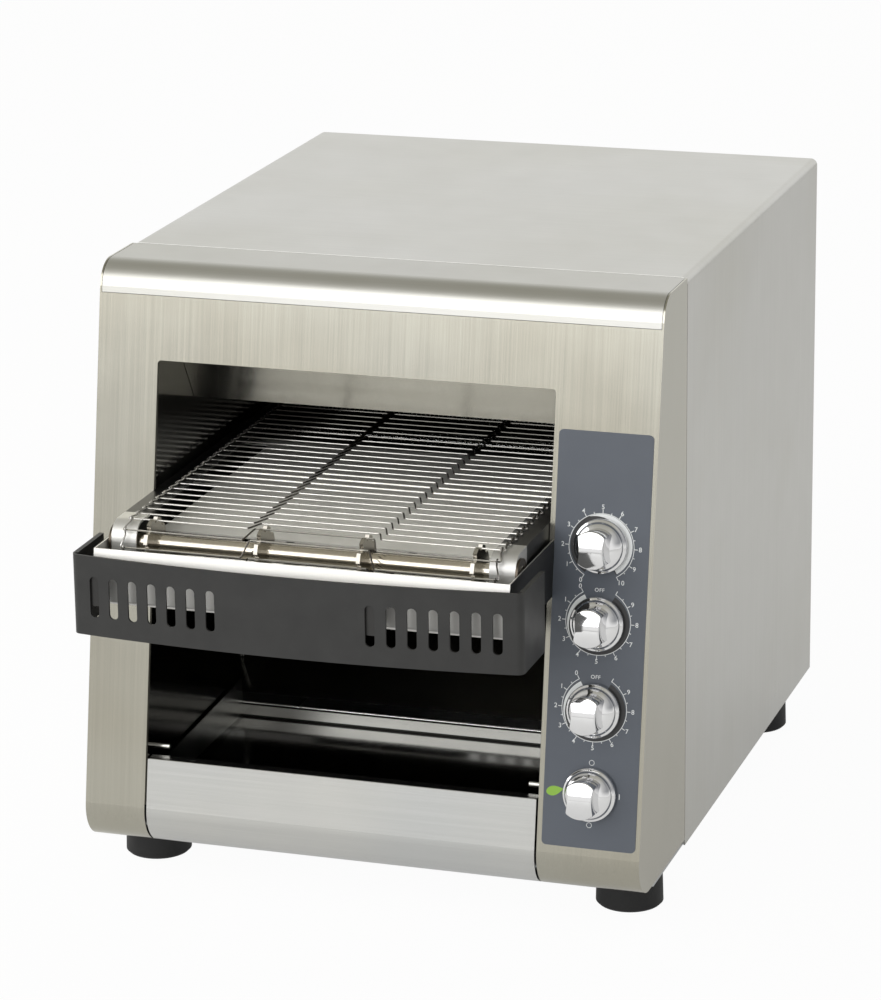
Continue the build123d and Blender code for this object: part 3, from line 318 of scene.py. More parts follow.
@dataclass(frozen=True)
class BrushedSteel:
    """Stainless sheet with brushed lines, soft clouds of tint and faint wipe marks."""

    name: str
    colour: Colour = (0.60, 0.60, 0.585)
    tint: Colour = (0.57, 0.56, 0.52)
    roughness: float = 0.30
    grain: Grain = Grain.ACROSS_X
    lines: float = 900.0
    length: float = 5.0
    contrast: float = 0.10
    tilt: float = 0.0
    relief: float = 0.000004
    metal: float = 1.0
    zones: Zones = Zones.NONE
    coarse: float = 0.35
    fine: float = 1.6
    fine_share: float = 0.75
    polish: float = 0.3
    cloud: float = 7.0
    cloud_start: float = 0.38
    cloud_gain: float = 3.0
    wear: float = 34.0
    wear_depth: float = 0.08

    def material(self) -> bpy.types.Material:
        """Noise stretched along the brushing moves colour, roughness and relief.

        Returns:
            The material.
        """
        shader = Shader(self.name)
        scale = tuple(self.length + self.lines * share for share in self.grain.value)
        place = shader.mapped(scale, (self.tilt, 0.0, 0.0))
        coarse = shader.noise(place, self.coarse, 2.0)
        fine = shader.noise(place, self.fine, 2.0)
        cloud = shader.spots(self.cloud, 2.0)
        wear = shader.spots(self.wear, 4.0)
        brushed = (coarse * (1.0 - self.fine_share) + fine * self.fine_share - 0.5) * self.contrast
        ground = shader.mix(((cloud - self.cloud_start) * self.cloud_gain).clamped(), self.colour, self.tint)
        colour = shader.mix(1.0, ground, brushed + 1.0, "MULTIPLY")
        roughness = brushed * self.polish + (wear - 0.5) * self.wear_depth + self.roughness
        # the zones paint highlight and shade over the colour, and change the roughness
        for zone in self.zones.value:
            inside = 1.0
            for axis, low, high in zone.limits:
                inside = shader.axis(shader.place, axis).within(low, high) * inside
            colour = shader.mix(inside, colour, shaded(self.colour, zone.colour))
            roughness = roughness - inside * (self.roughness * (1.0 - zone.roughness))
        return shader.finish(
            Base_Color=colour,
            Metallic=self.metal,
            Roughness=roughness.clamped(),
            Normal=shader.bump(fine, self.relief),
        )


@dataclass(frozen=True)
class BeltSteel:
    """Bright drawn wire, darkened at its bends and hooks and along its right end, and dimmer towards the rear, all as
    painted shade.
    """

    name: str
    colour: Colour = (0.90, 0.885, 0.85)
    # painted shade: the first dark colour below darkens the bends, hooks and right end, and the rear colour darkens
    # the belt towards the rear and also gives the soot its colour
    stain: Colour = (0.06, 0.05, 0.04)
    rear: Colour = (0.15, 0.145, 0.13)
    middle: float = -12.75 * MM
    bend: float = 40.7 * MM
    reach: float = 2.7 * MM
    hooks: tuple[float, float] = (118.4 * MM, 121.1 * MM)
    far: float = 1.0
    hook_stain: float = 0.45
    right_stain: float = 0.5
    most_stain: float = 0.9
    rear_start: float = -75.0 * MM
    rear_gain: float = 12.0
    soot: float = 90.0
    soot_gain: float = 1.4
    soot_start: float = 0.45
    soot_share: float = 0.5
    metal: float = 0.9
    roughness: float = 0.2
    polish: float = 0.12

    def material(self) -> bpy.types.Material:
        """Distance from the belt's middle line picks out the bends and the hooked ends, where shade is painted.

        Returns:
            The material.
        """
        shader = Shader(self.name)
        across = shader.axis(shader.place, "X") - self.middle
        side = across.absolute()
        # painted shade at the bends and hooks and along the right end
        dark = side.within(self.bend - self.reach, self.bend + self.reach)
        dark = dark + side.within(*self.hooks) * self.hook_stain
        dark = dark + across.within(self.hooks[0], self.far) * self.right_stain
        # painted shade: the wire grows darker towards the rear
        back = ((shader.axis(shader.place, "Y") - self.rear_start) * self.rear_gain).clamped()
        soot = shader.spots(self.soot, 3.0)
        colour = shader.mix(back, self.colour, self.rear)
        colour = shader.mix((soot * self.soot_gain - self.soot_start).clamped() * self.soot_share, colour, self.rear)
        return shader.finish(
            Base_Color=shader.mix((dark * self.most_stain).clamped(), colour, self.stain),
            Metallic=self.metal,
            Roughness=(soot - 0.5) * self.polish + self.roughness,
        )


@dataclass(frozen=True)
class Chrome:
    """Bright plated metal with faint finger marks."""

    name: str
    colour: Colour = (0.84, 0.84, 0.85)
    roughness: float = 0.06
    smear: float = 160.0
    smear_start: float = 0.3
    dulled: float = 0.92
    polish: float = 0.06

    def material(self) -> bpy.types.Material:
        """Smears of roughness over a mirror.

        Returns:
            The material.
        """
        shader = Shader(self.name)
        smear = shader.spots(self.smear, 3.0)
        return shader.finish(
            Base_Color=shader.mix((smear - self.smear_start).clamped(), self.colour, shaded(self.colour, self.dulled)),
            Metallic=1.0,
            Roughness=(smear - 0.5) * self.polish + self.roughness,
        )


@dataclass(frozen=True)
class Coating:
    """Paint, plastic, rubber or ceramic: one colour with a fine relief and a speckle."""

    name: str
    colour: Colour
    roughness: float = 0.45
    speckle: float = 0.12
    pitch: float = 1500.0
    depth: float = 0.00002
    cloud: float = 60.0
    cloud_gain: float = 1.6
    cloud_start: float = 0.3
    polish: float = 0.12

    def material(self) -> bpy.types.Material:
        """A fine noise lifts the surface and a wider one clouds its colour.

        Returns:
            The material.
        """
        shader = Shader(self.name)
        fine = shader.spots(self.pitch, 2.0)
        cloud = shader.spots(self.cloud, 3.0)
        clouded = (cloud * self.cloud_gain - self.cloud_start).clamped()
        return shader.finish(
            Base_Color=shader.mix(clouded, self.colour, shaded(self.colour, 1.0 - self.speckle)),
            Roughness=(cloud - 0.5) * self.polish + self.roughness,
            Normal=shader.bump(fine, self.depth),
        )


@dataclass(frozen=True)
class PlainMetal:
    """Metal without brushing: zinc, oiled steel or bronze, mottled by cells and stains."""

    name: str
    colour: Colour
    roughness: float = 0.4
    cells: float = 90.0
    contrast: float = 0.18
    stain: float = 28.0
    cell_share: float = 0.7
    stain_share: float = 0.5
    stain_start: float = 0.2
    polish: float = 0.2
    relief: float = 0.00002

    def material(self) -> bpy.types.Material:
        """Cells of slightly different brightness under a stain noise.

        Returns:
            The material.
        """
        shader = Shader(self.name)
        place = shader.mapped((self.cells,) * 3)
        cell = shader.add("ShaderNodeTexVoronoi", {}, {"Vector": place, "Scale": 1.0})
        spangle = Value(shader, cell.outputs["Distance"])
        stain = shader.spots(self.stain, 4.0)
        mottled = (spangle * self.cell_share + stain * self.stain_share - self.stain_start).clamped()
        return shader.finish(
            Base_Color=shader.mix(mottled, self.colour, shaded(self.colour, 1.0 - self.contrast)),
            Metallic=1.0,
            Roughness=(stain - 0.5) * self.polish + self.roughness,
            Normal=shader.bump(stain, self.relief),
        )


@dataclass(frozen=True)
class Quartz:
    """Clear heat-proof glass tube."""

    name: str
    colour: Colour = (0.97, 0.97, 0.96)
    waves: Point = (200.0, 40.0, 200.0)
    roughness: float = 0.06
    bending: float = 1.46

    def material(self) -> bpy.types.Material:
        """Glass with a faint haze.

        Returns:
            The material.
        """
        shader = Shader(self.name)
        haze = shader.noise(shader.mapped(self.waves), 1.0, 2.0)
        return shader.finish(
            Base_Color=self.colour,
            Roughness=haze * self.roughness,
            IOR=self.bending,
            Transmission_Weight=1.0,
        )


# ---------------------------------------------------------------- mesh building
MERGE = 0.002 * MM
CREASE = radians(40)


@dataclass(frozen=True)
class Face:
    """Flat frame in space: an origin with its right and up directions; outward is square to both."""

    origin: np.ndarray
    right: np.ndarray
    up: np.ndarray

    def place(self, points: np.ndarray) -> np.ndarray:
        """Local points set in space.

        Args:
            points: Array whose last axis holds right, up and outward distances.

        Returns:
            The same points in the frame's axes.
        """
        out = np.cross(self.right, self.up)
        return self.origin + points[..., :1] * self.right + points[..., 1:2] * self.up + points[..., 2:] * out

    def moved(self, rise: float) -> "Face":
        """The same frame, moved along its up direction."""
        return Face(self.place(np.array([0.0, rise, 0.0])), self.right, self.up)


def joint_place(name: str) -> np.ndarray:
    """Place of a joint in the frame."""
    return np.array(next(joint for joint in frame["joints"] if joint["name"] == name)["pos_m"])


def mesh_points(mesh: bpy.types.Mesh) -> np.ndarray:
    """Reads the points of a mesh.

    Args:
        mesh: The mesh.

    Returns:
        Its points, one to a row.
    """
    flat = np.empty(len(mesh.vertices) * 3)
    mesh.vertices.foreach_get("co", flat)
    return flat.reshape(-1, 3)


def grid_faces(rows: int, columns: int, columns_closed: bool = False) -> np.ndarray:
    """Quads between neighbours of a grid whose points are numbered row by row.

    Args:
        rows: Number of rows.
        columns: Points in a row.
        columns_closed: Whether each row's last point joins its first.

    Returns:
        Corner numbers, four to a quad.
    """
    row = np.arange(rows - 1)[:, None]
    column = np.arange(columns if columns_closed else columns - 1)[None, :]
    below, beside = row + 1, (column + 1) % columns
    corners = [row * columns + column, row * columns + beside, below * columns + beside, below * columns + column]
    return np.stack(np.broadcast_arrays(*corners), -1).reshape(-1, 4)


def joined(shapes: list) -> tuple[np.ndarray, list]:
    """Several shapes as one, with the corner numbers of each counted on from those before it.

    Args:
        shapes: Pairs of points and faces.

    Returns:
        The points and the faces.
    """
    points, faces, count = [], [], 0
    for spots, groups in shapes:
        points.append(spots.reshape(-1, 3))
        faces.extend(group + count for group in (groups if isinstance(groups, list) else [groups]))
        count += len(points[-1])
    return np.concatenate(points), faces


def make_piece(name: str, points: np.ndarray, faces: np.ndarray | list, body: str, finish: bpy.types.Material,
               smooth: bool = True) -> bpy.types.Object:
    """Makes a piece of the object from points and faces.

    Args:
        name: The piece's name.
        points: Its points, in any array shape that ends in three coordinates.
        faces: Corner numbers of its faces, or a list of such arrays.
        body: The CAD body that it rides on.
        finish: Its material.
        smooth: Whether its faces shade smoothly between edges sharper than CREASE.

    Returns:
        The piece.
    """
    spots, groups = joined([(points, faces)])
    mesh = bpy.data.meshes.new(name)
    mesh.from_pydata(spots.tolist(), [], [row for group in groups for row in group.tolist()])
    work = bmesh.new()
    work.from_mesh(mesh)
    bmesh.ops.remove_doubles(work, verts=work.verts, dist=MERGE)
    bmesh.ops.recalc_face_normals(work, faces=work.faces)
    for edge in work.edges:
        edge.smooth = not smooth or edge.calc_face_angle(0.0) < CREASE
    for side in work.faces:
        side.smooth = smooth
    work.to_mesh(mesh)
    work.free()
    mesh.materials.append(finish)
    made = bpy.data.objects.new(name, mesh)
    bpy.context.scene.collection.objects.link(made)
    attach(made, body)
    return made


def rounded(corners: np.ndarray, radius: float, steps: int = 3) -> np.ndarray:
    """Open path with each inner corner eased by a quadratic curve between its two sides.

    Args:
        corners: Corner points, one to a row.
        radius: Distance from a corner at which the curve starts.
        steps: Points on each curve, less one.

    Returns:
        Points of the eased path.
    """
    sides = np.diff(corners, axis=0)
    sides /= np.linalg.norm(sides, axis=1, keepdims=True)
    middle = corners[1:-1, None]
    before = middle - radius * sides[:-1, None]
    after = middle + radius * sides[1:, None]
    t = np.linspace(0, 1, steps + 1)[None, :, None]
    curve = (1 - t) ** 2 * before + 2 * t * (1 - t) * middle + t**2 * after
    return np.concatenate([corners[:1], curve.reshape(-1, corners.shape[1]), corners[-1:]])


def tubes(paths: np.ndarray, across: np.ndarray, radius: float, sides: int) -> tuple[np.ndarray, list]:
    """Round wires along many paths of equal point counts: a circle carried square to each path.

    Args:
        paths: Points as wires x stations x 3.
        across: For each wire, a direction that none of its stretches runs along.
        radius: The wires' radius.
        sides: Corners of the circle.

    Returns:
        The points and the faces, ends included.
    """
    wires, stations = paths.shape[:2]
    along = np.gradient(paths, axis=1)
    along /= np.linalg.norm(along, axis=2, keepdims=True)
    first = across[:, None] - (across[:, None] * along).sum(2, keepdims=True) * along
    first /= np.linalg.norm(first, axis=2, keepdims=True)
    second = np.cross(along, first)
    turn = np.linspace(0, 2 * pi, sides, endpoint=False)[:, None]
    ring = first[:, :, None] * np.cos(turn) + second[:, :, None] * np.sin(turn)
    points = paths[:, :, None] + radius * ring
    starts = np.arange(wires)[:, None] * stations * sides
    skin = (grid_faces(stations, sides, columns_closed=True)[None] + starts[:, :, None]).reshape(-1, 4)
    caps = np.concatenate([starts + np.arange(sides), starts + (stations - 1) * sides + np.arange(sides)])
    return points, [skin, caps]


def turned(face: Face, profile: np.ndarray, steps: int) -> tuple[np.ndarray, np.ndarray]:
    """Surface of revolution about a frame's outward direction.

    Args:
        face: The frame that it stands on.
        profile: Radius and height of each point of the outline, closed on the axis.
        steps: Points round the axis.

    Returns:
        The points and the faces.
    """
    turn = np.linspace(0, 2 * pi, steps, endpoint=False)
    radius, height = profile[:, :1], profile[:, 1:]
    local = np.stack([radius * np.cos(turn), radius * np.sin(turn), height + 0 * turn], -1)
    return face.place(local), grid_faces(len(profile), steps, columns_closed=True)


# ---------------------------------------------------------------- finishes
FACE_TILT = radians(9.7)
STEEL = {
    "wrap_steel": BrushedSteel("wrap_steel", (0.598, 0.594, 0.571), (0.562, 0.556, 0.52), grain=Grain.ACROSS_Y,
                               contrast=0.22, zones=Zones.WRAP),
    "fascia_steel": BrushedSteel("fascia_steel", (0.462, 0.450, 0.392), (0.425, 0.405, 0.338), 0.19,
                                 Grain.ACROSS_XY, tilt=FACE_TILT, contrast=0.26, relief=0.000002),
    "trim_steel": BrushedSteel("trim_steel", (0.60, 0.595, 0.57), (0.57, 0.565, 0.525), 0.36, Grain.ACROSS_YZ,
                               contrast=0.12, relief=0.000010),
    "tray_steel": BrushedSteel("tray_steel", (0.62, 0.618, 0.595), (0.58, 0.588, 0.585), 0.25,
                               Grain.ACROSS_YZ, tilt=FACE_TILT, contrast=0.20, relief=0.000003,
                               zones=Zones.TRAY),
    "feed_steel": BrushedSteel("feed_steel", (0.97, 0.96, 0.93), (0.93, 0.915, 0.87), 0.42, contrast=0.08,
                               relief=0.000002, metal=0.8, zones=Zones.FEED),
    "baffle_steel": BrushedSteel("baffle_steel", (0.85, 0.84, 0.785), (0.81, 0.795, 0.735), 0.2, contrast=0.16),
    "chamber_steel": BrushedSteel("chamber_steel", (0.15, 0.147, 0.137), (0.115, 0.111, 0.10), 0.12, contrast=0.2,
                                  relief=0.000002),
    "ramp_steel": BrushedSteel("ramp_steel", (0.30, 0.295, 0.28), (0.24, 0.23, 0.21), 0.2, contrast=0.2),
    "shield_steel": BrushedSteel("shield_steel", (0.90, 0.89, 0.85), (0.84, 0.83, 0.78), 0.42, Grain.ACROSS_Y,
                                 contrast=0.12, relief=0.000002, metal=0.45, zones=Zones.SHIELD),
    "rail_steel": BrushedSteel("rail_steel", (0.82, 0.815, 0.80), (0.75, 0.745, 0.72), 0.48, contrast=0.08,
                               relief=0.000002, zones=Zones.RAIL),
    "pin_steel": BrushedSteel("pin_steel", (0.72, 0.71, 0.69), roughness=0.2),
    "sprocket_steel": BrushedSteel("sprocket_steel", (0.50, 0.48, 0.44), (0.42, 0.39, 0.34), 0.24, contrast=0.2),
    "shaft_steel": BrushedSteel("shaft_steel", (0.70, 0.66, 0.58), (0.60, 0.54, 0.44), 0.15, Grain.ACROSS_X,
                                contrast=0.2),
    "spindle_steel": BrushedSteel("spindle_steel", (0.6, 0.6, 0.6), roughness=0.25),
}
OTHERS = {
    "belt_wire": BeltSteel("belt_wire"),
    "panel_steel": PlainMetal("panel_steel", (0.55, 0.56, 0.57), 0.38),
    "bush_bronze": PlainMetal("bush_bronze", (0.12, 0.10, 0.08), 0.36, 900.0),
    "chain_steel": PlainMetal("chain_steel", (0.22, 0.215, 0.21), 0.34, 400.0, 0.4),
    "wheel_steel": PlainMetal("wheel_steel", (0.34, 0.34, 0.34), 0.36, 300.0, 0.3),
    "knob_chrome": Chrome("knob_chrome"),
    "guard_paint": Coating("guard_paint", (0.029, 0.029, 0.0285), 0.46, 0.34, 1300.0, 0.00001),
    "bracket_paint": Coating("bracket_paint", (0.028, 0.027, 0.026), 0.4, 0.2),
    "overlay_film": Coating("overlay_film", (0.098, 0.112, 0.138), 0.38, 0.06, 2500.0, 0.000004),
    "foot_rubber": Coating("foot_rubber", (0.008, 0.008, 0.0085), 0.6, 0.3, 900.0, 0.00004),
    "motor_paint": Coating("motor_paint", (0.04, 0.043, 0.05), 0.42, 0.25),
    "fan_plastic": Coating("fan_plastic", (0.018, 0.018, 0.018), 0.4),
    "gland_plastic": Coating("gland_plastic", (0.018, 0.018, 0.018), 0.45),
    "control_body": Coating("control_body", (0.03, 0.03, 0.033), 0.45),
    "terminal_ceramic": Coating("terminal_ceramic", (0.72, 0.70, 0.62), 0.6),
    "cap_ceramic": Coating("cap_ceramic", (0.70, 0.67, 0.60), 0.7, 0.2, 1200.0, 0.00004),
    "quartz": Quartz("quartz"),
}


def dress_frame() -> dict[str, bpy.types.Material]:
    """Gives each CAD node the finish of its slot.

    Returns:
        Every material by its slot name.
    """
    made = {name: finish.material() for name, finish in {**STEEL, **OTHERS}.items()}
    for node in frame["nodes"].values():
        slots = node.data.materials
        for index, old in enumerate(slots):
            slots[index] = made[old.name.split(".")[0]]
    return made


# ---------------------------------------------------------------- belt
@dataclass
class WireBelt:
    """Endless belt of round Z-bent wires, hooked at their ends, over two rows of sprockets."""

    pitch: float = 11.1 * MM
    teeth: int = 8
    spans: int = 38
    wire: float = 0.56 * MM
    bend: float = 40.7 * MM
    lean: float = 4.2 * MM
    hook_inset: float = 2.4 * MM
    hook_rise: float = 1.5 * MM
    hook_back: float = 2.2
    hook_steps: int = 6
    end_gap: float = 0.8 * MM
    ease: float = 1.3 * MM
    sides: int = 7

    def corners(self, front: np.ndarray) -> np.ndarray:
        """Corners of the belt's loop: equal pitches along both runs and round both wheels.

        Args:
            front: Depth and height of the front shaft's axis.

        Returns:
            Depth and height of each corner, one to a row.
        """
        radius = self.pitch / (2 * sin(pi / self.teeth))
        turn = 2 * pi * np.arange(1, self.teeth // 2) / self.teeth
        run = np.arange(self.spans + 1) * self.pitch
        ahead = np.stack([run, np.full(run.shape, radius)], 1)
        far = np.stack([run[-1] + radius * np.sin(turn), radius * np.cos(turn)], 1)
        near = np.stack([-radius * np.sin(turn), -radius * np.cos(turn)], 1)
        return front + np.concatenate([ahead, far, (ahead * (1, -1))[::-1], near])

    def strand(self, half: float) -> np.ndarray:
        """One wire: outer bars on its line, middle bar on the next, ends hooked over the next wire.

        Args:
            half: Distance from the belt's middle to the outside of its bars.

        Returns:
            Points as distance across the belt, along it and off it.
        """
        inner, outer, hook = self.bend - self.lean / 2, self.bend + self.lean / 2, half - self.hook_inset
        flat = np.array([(inner, self.pitch, 0), (outer, 0, 0), (half, 0, 0),
                         (hook, self.pitch - self.hook_back * self.hook_rise, 0)])
        right = np.concatenate([rounded(flat[1:], self.ease)[:-1], flat[-1:]])
        t = np.linspace(0, pi, self.hook_steps + 1)[1:]
        curl = np.stack([np.full(t.shape, hook), self.pitch - self.hook_rise * np.cos(t),
                         self.hook_rise * np.sin(t)], 1)
        bend = rounded(np.concatenate([flat[:1] * (-1, 1, 1), flat[:3]]), self.ease)[1:-1]
        right = np.concatenate([bend, right[1:], curl])
        return np.concatenate([(right * (-1, 1, 1))[::-1], right])

    def build(self, finishes: dict) -> list[bpy.types.Object]:
        """Builds the belt in place of its CAD node, on the housing that it circulates in.

        Each side of the loop carries one wire: its distance along the belt is laid along that side, and its
        distance off the belt along the side's outward normal.

        Args:
            finishes: Materials by slot name.

        Returns:
            The belt.
        """
        low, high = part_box("wire_belt")
        points = self.corners(joint_place("front_shaft_spin")[1:])
        steps = np.roll(points, -1, axis=0) - points
        steps /= np.linalg.norm(steps, axis=1, keepdims=True)
        flat = self.strand((high.x - low.x) / 2 - self.end_gap)
        away = np.stack([-steps[:, 1], steps[:, 0]], 1)
        paths = np.empty((len(points), len(flat), 3))
        paths[:, :, 0] = (low.x + high.x) / 2 + flat[:, 0]
        paths[:, :, 1:] = points[:, None] + steps[:, None] * flat[None, :, 1:2] + away[:, None] * flat[None, :, 2:]
        across = np.stack([0 * away[:, 0], away[:, 0], away[:, 1]], 1)
        skin, faces = tubes(paths, across, self.wire, self.sides)
        belt = make_piece("belt_wires", skin, faces, "housing", finishes["belt_wire"])
        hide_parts("wire_belt")
        return [belt]


# ---------------------------------------------------------------- rolled edges
@dataclass
class TrayEdges:
    """Rolled edges along the top of the receiving tray's front and of its rear lip, made bright as a painted
    highlight.
    """

    radius: float = 0.85 * MM
    front: tuple = (-193.85 * MM, 84.9 * MM)
    rear: tuple = (-27.35 * MM, 66.0 * MM)
    inset: float = 1.0 * MM
    stations: int = 9
    sides: int = 16
    # painted highlight: the edges get a brighter copy of the tray's steel
    steel: BrushedSteel = BrushedSteel("edge_steel", (0.95, 0.95, 0.93), (0.90, 0.90, 0.88), 0.24, contrast=0.1)

    def build(self, finishes: dict) -> list[bpy.types.Object]:
        """Builds the edges: a circle carried along two straight lines.

        Args:
            finishes: Materials by slot name; not used.

        Returns:
            The edges, as one piece.
        """
        low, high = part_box("receiving_tray")
        along = np.linspace(low.x + self.inset, high.x - self.inset, self.stations)
        paths = np.stack([np.stack([along, 0 * along + depth, 0 * along + height], 1)
                          for depth, height in (self.front, self.rear)])
        skin, faces = tubes(paths, np.tile([0.0, 1.0, 0.0], (2, 1)), self.radius, self.sides)
        return [make_piece("tray_edges", skin, faces, "tray", self.steel.material())]


# ---------------------------------------------------------------- heating coils
@dataclass
class HeaterCoils:
    """Coiled resistance wire inside each quartz tube."""

    radius: float = 2.9 * MM
    wire: float = 0.35 * MM
    pitch: float = 3.2 * MM
    per_turn: int = 9
    sides: int = 4
    margin: float = 16 * MM
    gap: float = 20 * MM
    steel: BrushedSteel = BrushedSteel("coil_wire", (0.36, 0.33, 0.29), (0.28, 0.25, 0.21), 0.35)

    def build(self, finishes: dict) -> list[bpy.types.Object]:
        """Builds the coils: a helix along X in each tube, at the tubes' own depths and height.

        The tubes of a heater are told apart by the gaps between their points in depth.

        Args:
            finishes: Materials by slot name; not used.

        Returns:
            The coils, one piece for each row of tubes.
        """
        wire = self.steel.material()
        made = []
        for node in ("upper_heaters", "lower_heaters"):
            spots = mesh_points(frame["nodes"][node].data)
            low, high = spots[:, 0].min() + self.margin, spots[:, 0].max() - self.margin
            order = np.sort(spots[:, 1])
            starts = np.concatenate([[0], np.flatnonzero(np.diff(order) > self.gap) + 1, [len(order)]])
            centres = [(order[a] + order[b - 1]) / 2 for a, b in zip(starts[:-1], starts[1:])]
            height = (spots[:, 2].min() + spots[:, 2].max()) / 2
            turns = int((high - low) / self.pitch)
            t = np.linspace(0, turns * 2 * pi, turns * self.per_turn + 1)
            helix = np.stack([low + self.pitch * t / (2 * pi), self.radius * np.cos(t), self.radius * np.sin(t)], 1)
            offsets = np.array([(0.0, y, height) for y in centres])
            across = np.tile([1.0, 0.0, 0.0], (len(centres), 1))
            skin, faces = tubes(helix[None] + offsets[:, None], across, self.wire, self.sides)
            made.append(make_piece(f"{node}_coils", skin, faces, "housing", wire))
        return made


# ---------------------------------------------------------------- knobs and dials
def dial_face(joint: str) -> Face:
    """Frame on the sloping face at a dial's joint, with up along the slope.

    Args:
        joint: The joint's name.

    Returns:
        The frame.
    """
    up = np.array([0.0, sin(FACE_TILT), cos(FACE_TILT)])
    return Face(joint_place(joint), np.array([1.0, 0.0, 0.0]), up)


@dataclass
class Knob:
    """Chrome knob: a stepped round skirt under a waisted bar with a domed top; sizes in millimetres."""

    skirt: tuple = ((0, 0), (16.4, 0), (16.85, 0.25), (17.0, 0.8), (17.0, 2.6), (16.8, 3.3), (16.3, 3.75),
                    (15.6, 4.0), (15.2, 4.3), (14.95, 4.9), (14.5, 5.9), (14.1, 6.5), (13.4, 7.0), (11.5, 8.1),
                    (9.5, 9.0), (7.5, 9.4), (0, 9.4))
    half_length: float = 12.0
    half_width: float = 9.7
    widest: float = 60.0
    waist: float = 7.8
    flare: float = 1.3
    wall: tuple = (7.0, 12.0, 18.0)
    height: float = 25.5
    dome: float = 30.0
    edge: float = 0.8
    edge_rows: int = 7
    top_rows: int = 8
    top_start: float = 0.94
    corner: float = 30.0
    rounds: int = 40
    first_turn: float = 0.001
    round_points: int = 160

    def outline(self, t: np.ndarray) -> np.ndarray:
        """The bar's outline: a soft minimum of a circle's radius and that of two hollow sides.

        A side's half width grows with the square of its distance along the bar. That distance depends on
        the radius, so the radius is worked out in rounds, each of which goes half of the way.

        Args:
            t: Angles round the bar, none of them square to it.

        Returns:
            The radius at each angle.
        """
        side = np.full(t.shape, self.waist)
        for _ in range(self.rounds):
            reach = np.minimum(side * np.abs(np.sin(t)) / self.half_length, self.flare)
            width = self.waist + (self.half_width - self.waist) * reach**2
            side = 0.5 * side + 0.5 * np.minimum(width / np.abs(np.cos(t)), self.widest)
        return (side**-self.corner + self.half_length**-self.corner) ** (-1 / self.corner)

    def bar(self, face: Face) -> tuple[np.ndarray, np.ndarray]:
        """The bar: its outline raised to a cylindrical dome, with a quarter circle round the dome's edge.

        Args:
            face: Frame at the knob's base.

        Returns:
            The points and the faces.
        """
        t = np.linspace(0, 2 * pi, self.round_points, endpoint=False) + self.first_turn
        ease = np.linspace(0, pi / 2, self.edge_rows)
        walls, tops = np.zeros(len(self.wall)), np.zeros(self.top_rows)
        inset = np.concatenate([walls, self.edge * (1 - np.cos(ease)), tops + self.edge])[:, None]
        drop = np.concatenate([walls, self.edge * (1 - np.sin(ease)), tops])[:, None]
        share = np.concatenate([walls + 1, 0 * ease + 1, np.linspace(self.top_start, 0.0, self.top_rows)])[:, None]
        r = (self.outline(t) - inset) * share
        x, y = r * np.cos(t), r * np.sin(t)
        top = self.height - self.dome + np.sqrt(self.dome**2 - y**2) - drop
        top[:len(walls)] = np.array(self.wall)[:, None]
        return face.place(np.stack([x, y, top], -1) * MM), grid_faces(len(r), len(t), columns_closed=True)

    def build(self, name: str, joint: str, body: str, finish: bpy.types.Material) -> bpy.types.Object:
        """Builds one knob in place of its CAD node.

        Args:
            name: The CAD node's name.
            joint: The joint that it turns on.
            body: The CAD body that it rides on.
            finish: Its material.

        Returns:
            The knob.
        """
        face = dial_face(joint)
        points, faces = joined([turned(face, np.array(self.skirt) * MM, self.round_points), self.bar(face)])
        made = make_piece(f"{name}_cap", points, faces, body, finish)
        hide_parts(name)
        return made


class Scale(Enum):
    """Numbering of a dial: last number, angle of nought from the top in degrees, and 1 if it runs clockwise."""

    SPEED = (10, -150, 1)
    HEAT = (9, -30, -1)


